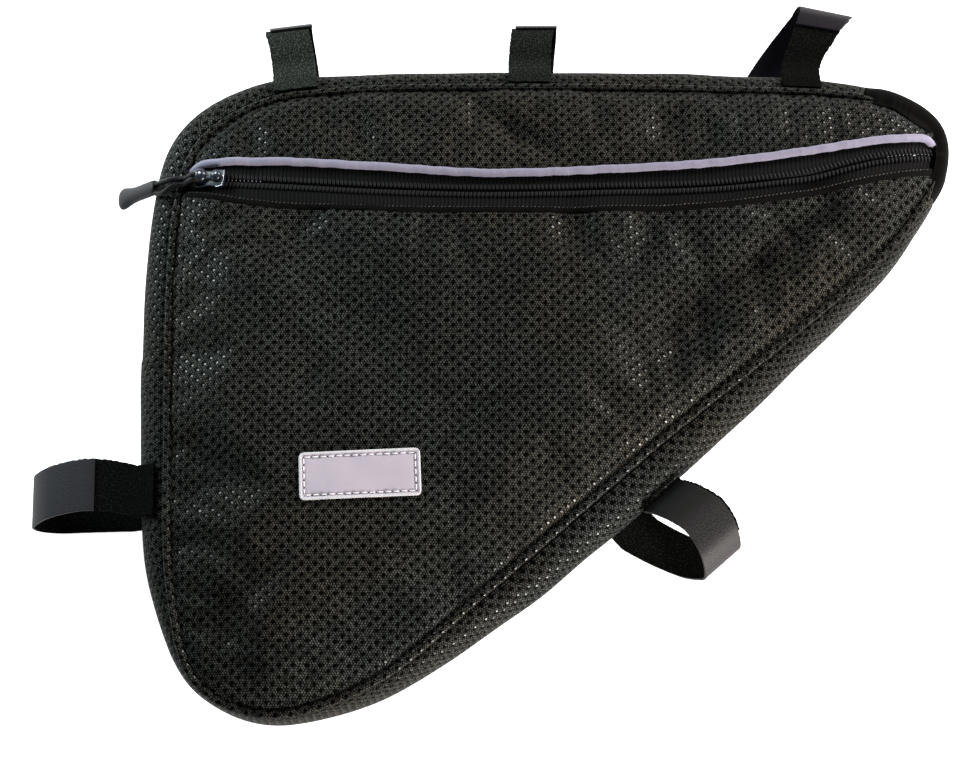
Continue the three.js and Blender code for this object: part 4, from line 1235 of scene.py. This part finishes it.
label = lay_cloth("label_patch", 180, 74, label_place, *label_size)
modify(label, "SOLIDIFY", thickness=label_wall, offset=-1)
modify(label, "BEVEL", width=0.25 * mm, segments=2, limit_method="ANGLE",
       angle_limit=math.radians(50))
label_skin, tree, shader = new_material("label_skin", roughness=0.5, specular=0.4)
place = place_source(tree, "UV")
tone = blend_colors(tree, noise_on(tree, place, 55), (0.39, 0.37, 0.46, 1), (0.6, 0.51, 0.58, 1))
split = wire(tree, "SeparateXYZ", place).node
sides = []
for coordinate, length in zip(split.outputs, label_size):
    off_middle = math_on(tree, "ABSOLUTE", math_on(tree, "SUBTRACT", coordinate, length / 2))
    sides.append(math_on(tree, "SUBTRACT", length / 2, off_middle))
rim_share = math_on(tree, "MULTIPLY_ADD", math_on(tree, "MINIMUM", *sides), -900.0, 1.5, clamp=True)
tone = blend_colors(tree, rim_share, tone, (0.66, 0.64, 0.68, 1))
tree.links.new(tone, shader.inputs["Base Color"])
raise_bump(tree, shader, noise_on(tree, place, 1300), 0.15, 0.0001)
label.data.materials.append(label_skin)
finish_mesh(label, "label", "label")

thread_white, tree, shader = new_material("label_thread", roughness=0.5, specular=0.4)
twist = waves_on(tree, place_source(tree, "Object"), 900, "DIAGONAL")
paint(tree, shader, twist, (0.72, 0.7, 0.74), (0.92, 0.9, 0.93))

border = np.array(label_size) / 2 - stitch_inset


def on_border(axis, side, along, lift):
    """A place on the stitched border, so far along the side that runs by this axis."""
    a, b = (along, -side * border[1]) if axis == 0 else (side * border[0], along)
    x, y = label_spot(np.array([a]), np.array([b]))
    return Matrix.Translation((x[0], y[0], cloth_level(x, y)[0] + lift))


stitch_places = []
hole_places = []
for axis, side in ((0, 1), (1, 1), (0, -1), (1, -1)):
    length = border[axis]
    count = round(2 * length / stitch_pitch)
    turn = Matrix.Rotation(label_turn + (math.pi / 2 if axis else 0), 4, "Z")
    for i in range(count):
        along = ((i + 0.5) / count * 2 - 1) * length
        stitch_places.append(on_border(axis, side, along, 1.02 * mm) @ turn)
        hole_places.append(on_border(axis, side, along + length / count, 0.9 * mm))
bpy.ops.mesh.primitive_uv_sphere_add(segments=10, ring_count=6, radius=hole_radius)
label_holes = copies_along("label_needle_holes", bpy.context.object, hole_places)
label_holes.data.materials.append(hem_cloth)
finish_mesh(label_holes, "label")
label_stitches = copies_along("label_stitches", bead(stitch_size), stitch_places)
label_stitches.data.materials.append(thread_white)
finish_mesh(label_stitches, "label")


# Straps: five loops of hook-and-loop tape, sewn to the gusset at both ends. The soft band lies
# inside and the smooth hook band closes over it, a little to one side. A strap's sizes are in mm,
# its sewn places on the bulge in degrees, and its hook and loop ends in shares of its length.
strap_back = (142, 156)
strap_lift = 1.6 * mm
strap_route = [(0.16, 1), (0.5, 0.98), (0.84, 0.84), (1, 0.46), (0.86, 0.12), (0.5, 0), (0.16, 0.04)]
strap_levels = (3.2 * mm, 27.5 * mm)
band_gap = 1.6 * mm
loop_wall, loop_nap = 1.4 * mm, 0.11 * mm
hook_wall, hook_nap = 1.0 * mm, 0.03 * mm
# The setting that scales each loop band's colour is painted light: high for a lit strap, low for a
# shaded one.
straps = {
    "top_left": dict(
        anchor=(-93.2, 115.5), width=20, reach=27.5, lean=-1.5, drift=-2, hook=0.4, loop=0.52,
        sewn=(8, 30), peek=2.2, nap_and_painted_light=2.8),
    "top_middle": dict(
        anchor=(14.6, 119.7), width=19.5, reach=25, lean=2, drift=0.5, hook=0.4, loop=0.52,
        sewn=(8, 30), peek=1.6, nap_and_painted_light=1.5),
    "top_right": dict(
        anchor=(139.9, 116.9), width=17.5, reach=36.5, lean=19.5, drift=-15, hook=0.345, loop=0.5,
        sewn=(8, 30), skew=-0.13, nap_and_painted_light=0.4, fan=0.4),
    "side": dict(
        anchor=(-144.1, -61.1), width=23, reach=47, lean=-4, drift=-7, hook=0.272, loop=0.46,
        sewn=(16, 38), foot=-6.5, peek=-0.6, nap_and_painted_light=0.5),
    "lower": dict(
        anchor=(59.1, -53.5), width=21, reach=38.5, lean=-8.5, drift=14.5, hook=0.02, loop=0.42,
        sewn=(64, 76), peek=1.4, bow=-5, nap_and_painted_light=0.6),
}


def fuzzy_tape(name, painted_lightness):
    """Soft looped side of the tape. Each strap gets its own copy, painted paler where the strap is lit
    and darker where it is shaded.
    """
    material, tree, shader = new_material(name, roughness=0.95, specular=0.03)
    nap_and_painted_light = noise_on(tree, place_source(tree, "UV"), 1300, detail=3)
    specks = math_on(tree, "MULTIPLY_ADD", nap_and_painted_light, 5.0, -2.5, clamp=True)
    dark = [painted_lightness * part for part in (0.0038, 0.0046, 0.0041)]
    light = [painted_lightness * part for part in (0.027, 0.03, 0.027)]
    paint(tree, shader, specks, dark, light)
    raise_bump(tree, shader, nap_and_painted_light, 0.8, 0.0005)
    return material


def smooth_tape(name, dark, light, darker_until=-1.0, gloss=0.22):
    """Woven back of the tape, in a plain darker colour for a first length in metres."""
    material, tree, shader = new_material(name, roughness=0.55, specular=gloss)
    place = place_source(tree, "UV")
    twill = waves_on(tree, place, 520, "DIAGONAL", distortion=3.5)
    grain = math_on(tree, "MULTIPLY_ADD", noise_on(tree, place, 1700), 2.6, -1.0, clamp=True)
    weave = math_on(tree, "MULTIPLY_ADD", twill, 0.35, grain)
    tone = blend_colors(tree, weave, (*dark, 1), (*light, 1))
    beyond = wire(tree, "SeparateXYZ", place)
    beyond = math_on(tree, "MULTIPLY_ADD", beyond, 160.0, -160.0 * darker_until, clamp=True)
    tone = blend_colors(tree, beyond, (0.0046, 0.0054, 0.0058, 1), tone)
    tree.links.new(tone, shader.inputs["Base Color"])
    raise_bump(tree, shader, weave, 0.3, 0.00015)
    return material


# Lit and shaded copies of one tape: the top right strap's copy is painted darker as painted shade, and
# the lower strap's copy is painted paler as painted light. The lower strap's copy is also darker for
# its first 24 mm.
hook_tape = smooth_tape("smooth_tape", (0.0078, 0.0074, 0.0098), (0.0218, 0.0205, 0.0268))
shaded_tape = smooth_tape("shaded_tape", (0.0045, 0.0036, 0.0062), (0.0098, 0.0078, 0.0128), gloss=0.07)
lit_tape = smooth_tape("lit_tape", (0.005, 0.0047, 0.0052), (0.034, 0.031, 0.034), 0.024)
hook_face = fuzzy_tape("hook_face", 0.5)
hook_faces = {"top_right": (shaded_tape, shaded_tape), "lower": (lit_tape, hook_face)}


def ragged(u, length, size):
    """How far the cut edge of the tape strays at each share of its length."""
    walk = u * length / mm
    coarse = np.sin(walk * 2.3 + 2 * np.sin(walk * 0.7))
    fine = np.sin(walk * 5.1 + 3 * np.sin(walk * 1.9))
    return size * (coarse + 0.6 * fine)


def strap_band(name, strap, start, stop, inset, thickness, nap, *faces):
    anchor = strap["anchor"]
    spot = seam_near((anchor[0] * mm, anchor[1] * mm))
    point, out = seam[spot], seam_out[spot]
    along = -seam_along[spot]
    swell = bulge[spot]
    reach, width = strap["reach"] * mm, strap["width"] * mm
    front = seam_level_at(point[0]) - 2.8 * mm

    def on_gusset(degrees):
        turn = np.radians([degrees, degrees + 1])
        away = welt_out + (swell - welt_out) * np.sin(turn) ** 0.75
        level = front + (gusset_foot - front) * (1 - np.cos(turn)) / 2
        run = np.array([away[1] - away[0], level[1] - level[0]])
        run /= np.linalg.norm(run)
        return away[0] - strap_lift * run[1], level[0] + strap_lift * run[0]

    low, high = strap_levels
    route = smooth_line(
        [on_gusset(d) for d in strap["sewn"]]
        + [(swell + away * reach, low + (high - low) * level) for away, level in strap_route]
        + [on_gusset(d) for d in strap_back], fineness=24)
    heading = np.gradient(route, axis=0)
    heading /= np.linalg.norm(heading, axis=1)[:, None]
    normal = np.stack([heading[:, 1], -heading[:, 0]], axis=1)
    length = np.linalg.norm(np.diff(route, axis=0), axis=1).sum() * (stop - start)

    def place(u, v):
        share = start + (stop - start) * u
        at = share * (len(route) - 1)
        steps = np.arange(len(route))
        nap_and_painted_light = np.sin(u * length / mm * 3.1 + 5 * np.sin(v * 37))
        nap_and_painted_light = nap * nap_and_painted_light * np.sin(v * 61 + 4 * np.sin(u * 90))
        lift = np.where((u > 0.004) & (u < 0.996), nap_and_painted_light, 0)
        away, level = (np.interp(at, steps, (route + inset * normal)[:, k]) for k in (0, 1))
        away = away + lift * np.interp(at, steps, normal[:, 0])
        level = level + lift * np.interp(at, steps, normal[:, 1])
        beyond = np.maximum(away - swell, 0)
        out_share = np.clip(beyond / reach, 0, 1)
        away = away + beyond * strap.get("skew", 0) * (v - 0.5)
        beside = strap["lean"] * out_share**1.6 + strap["drift"] * np.clip((share - 0.3) / 0.5, 0, 1)
        beside = beside + strap.get("foot", 0) * (1 - out_share) ** 3 * (share < 0.5)
        beside = beside + strap.get("bow", 0) * np.sin(math.pi * out_share) * (share < 0.5)
        beside = beside * mm + (v - 0.5) * width * (1 + strap.get("fan", 0) * out_share**2)
        beside = beside + (np.abs(v - 0.5) > 0.49) * np.sign(v - 0.5) * ragged(u + 0.3 * v, length, nap)
        if inset:
            beside = beside + strap.get("peek", 0) * mm
        spots = point + out * away[:, None] + along * beside[:, None]
        return np.column_stack([spots, level])

    band = lay_cloth(name, 220, 36, place, length, width)
    for face in faces:
        band.data.materials.append(face)
    modify(band, "SOLIDIFY", thickness=thickness, offset=0, material_offset=len(faces) - 1)
    modify(band, "BEVEL", width=thickness * 0.35, segments=2, limit_method="ANGLE",
           angle_limit=math.radians(60))
    return band


for name, strap in straps.items():
    loop_band = strap_band(
        f"{name}_loop_band", strap, 0, strap["loop"], 0, loop_wall, loop_nap,
        fuzzy_tape(f"fuzzy_tape_{name}", strap["nap_and_painted_light"]))
    finish_mesh(loop_band, "loop_tape", f"strap_{name}_loop")
    hook_band = strap_band(
        f"{name}_hook_band", strap, strap["hook"], 1, -band_gap, hook_wall, hook_nap,
        *hook_faces.get(name, (hook_tape, hook_face)))
    finish_mesh(hook_band, "hook_tape", f"strap_{name}_hook")
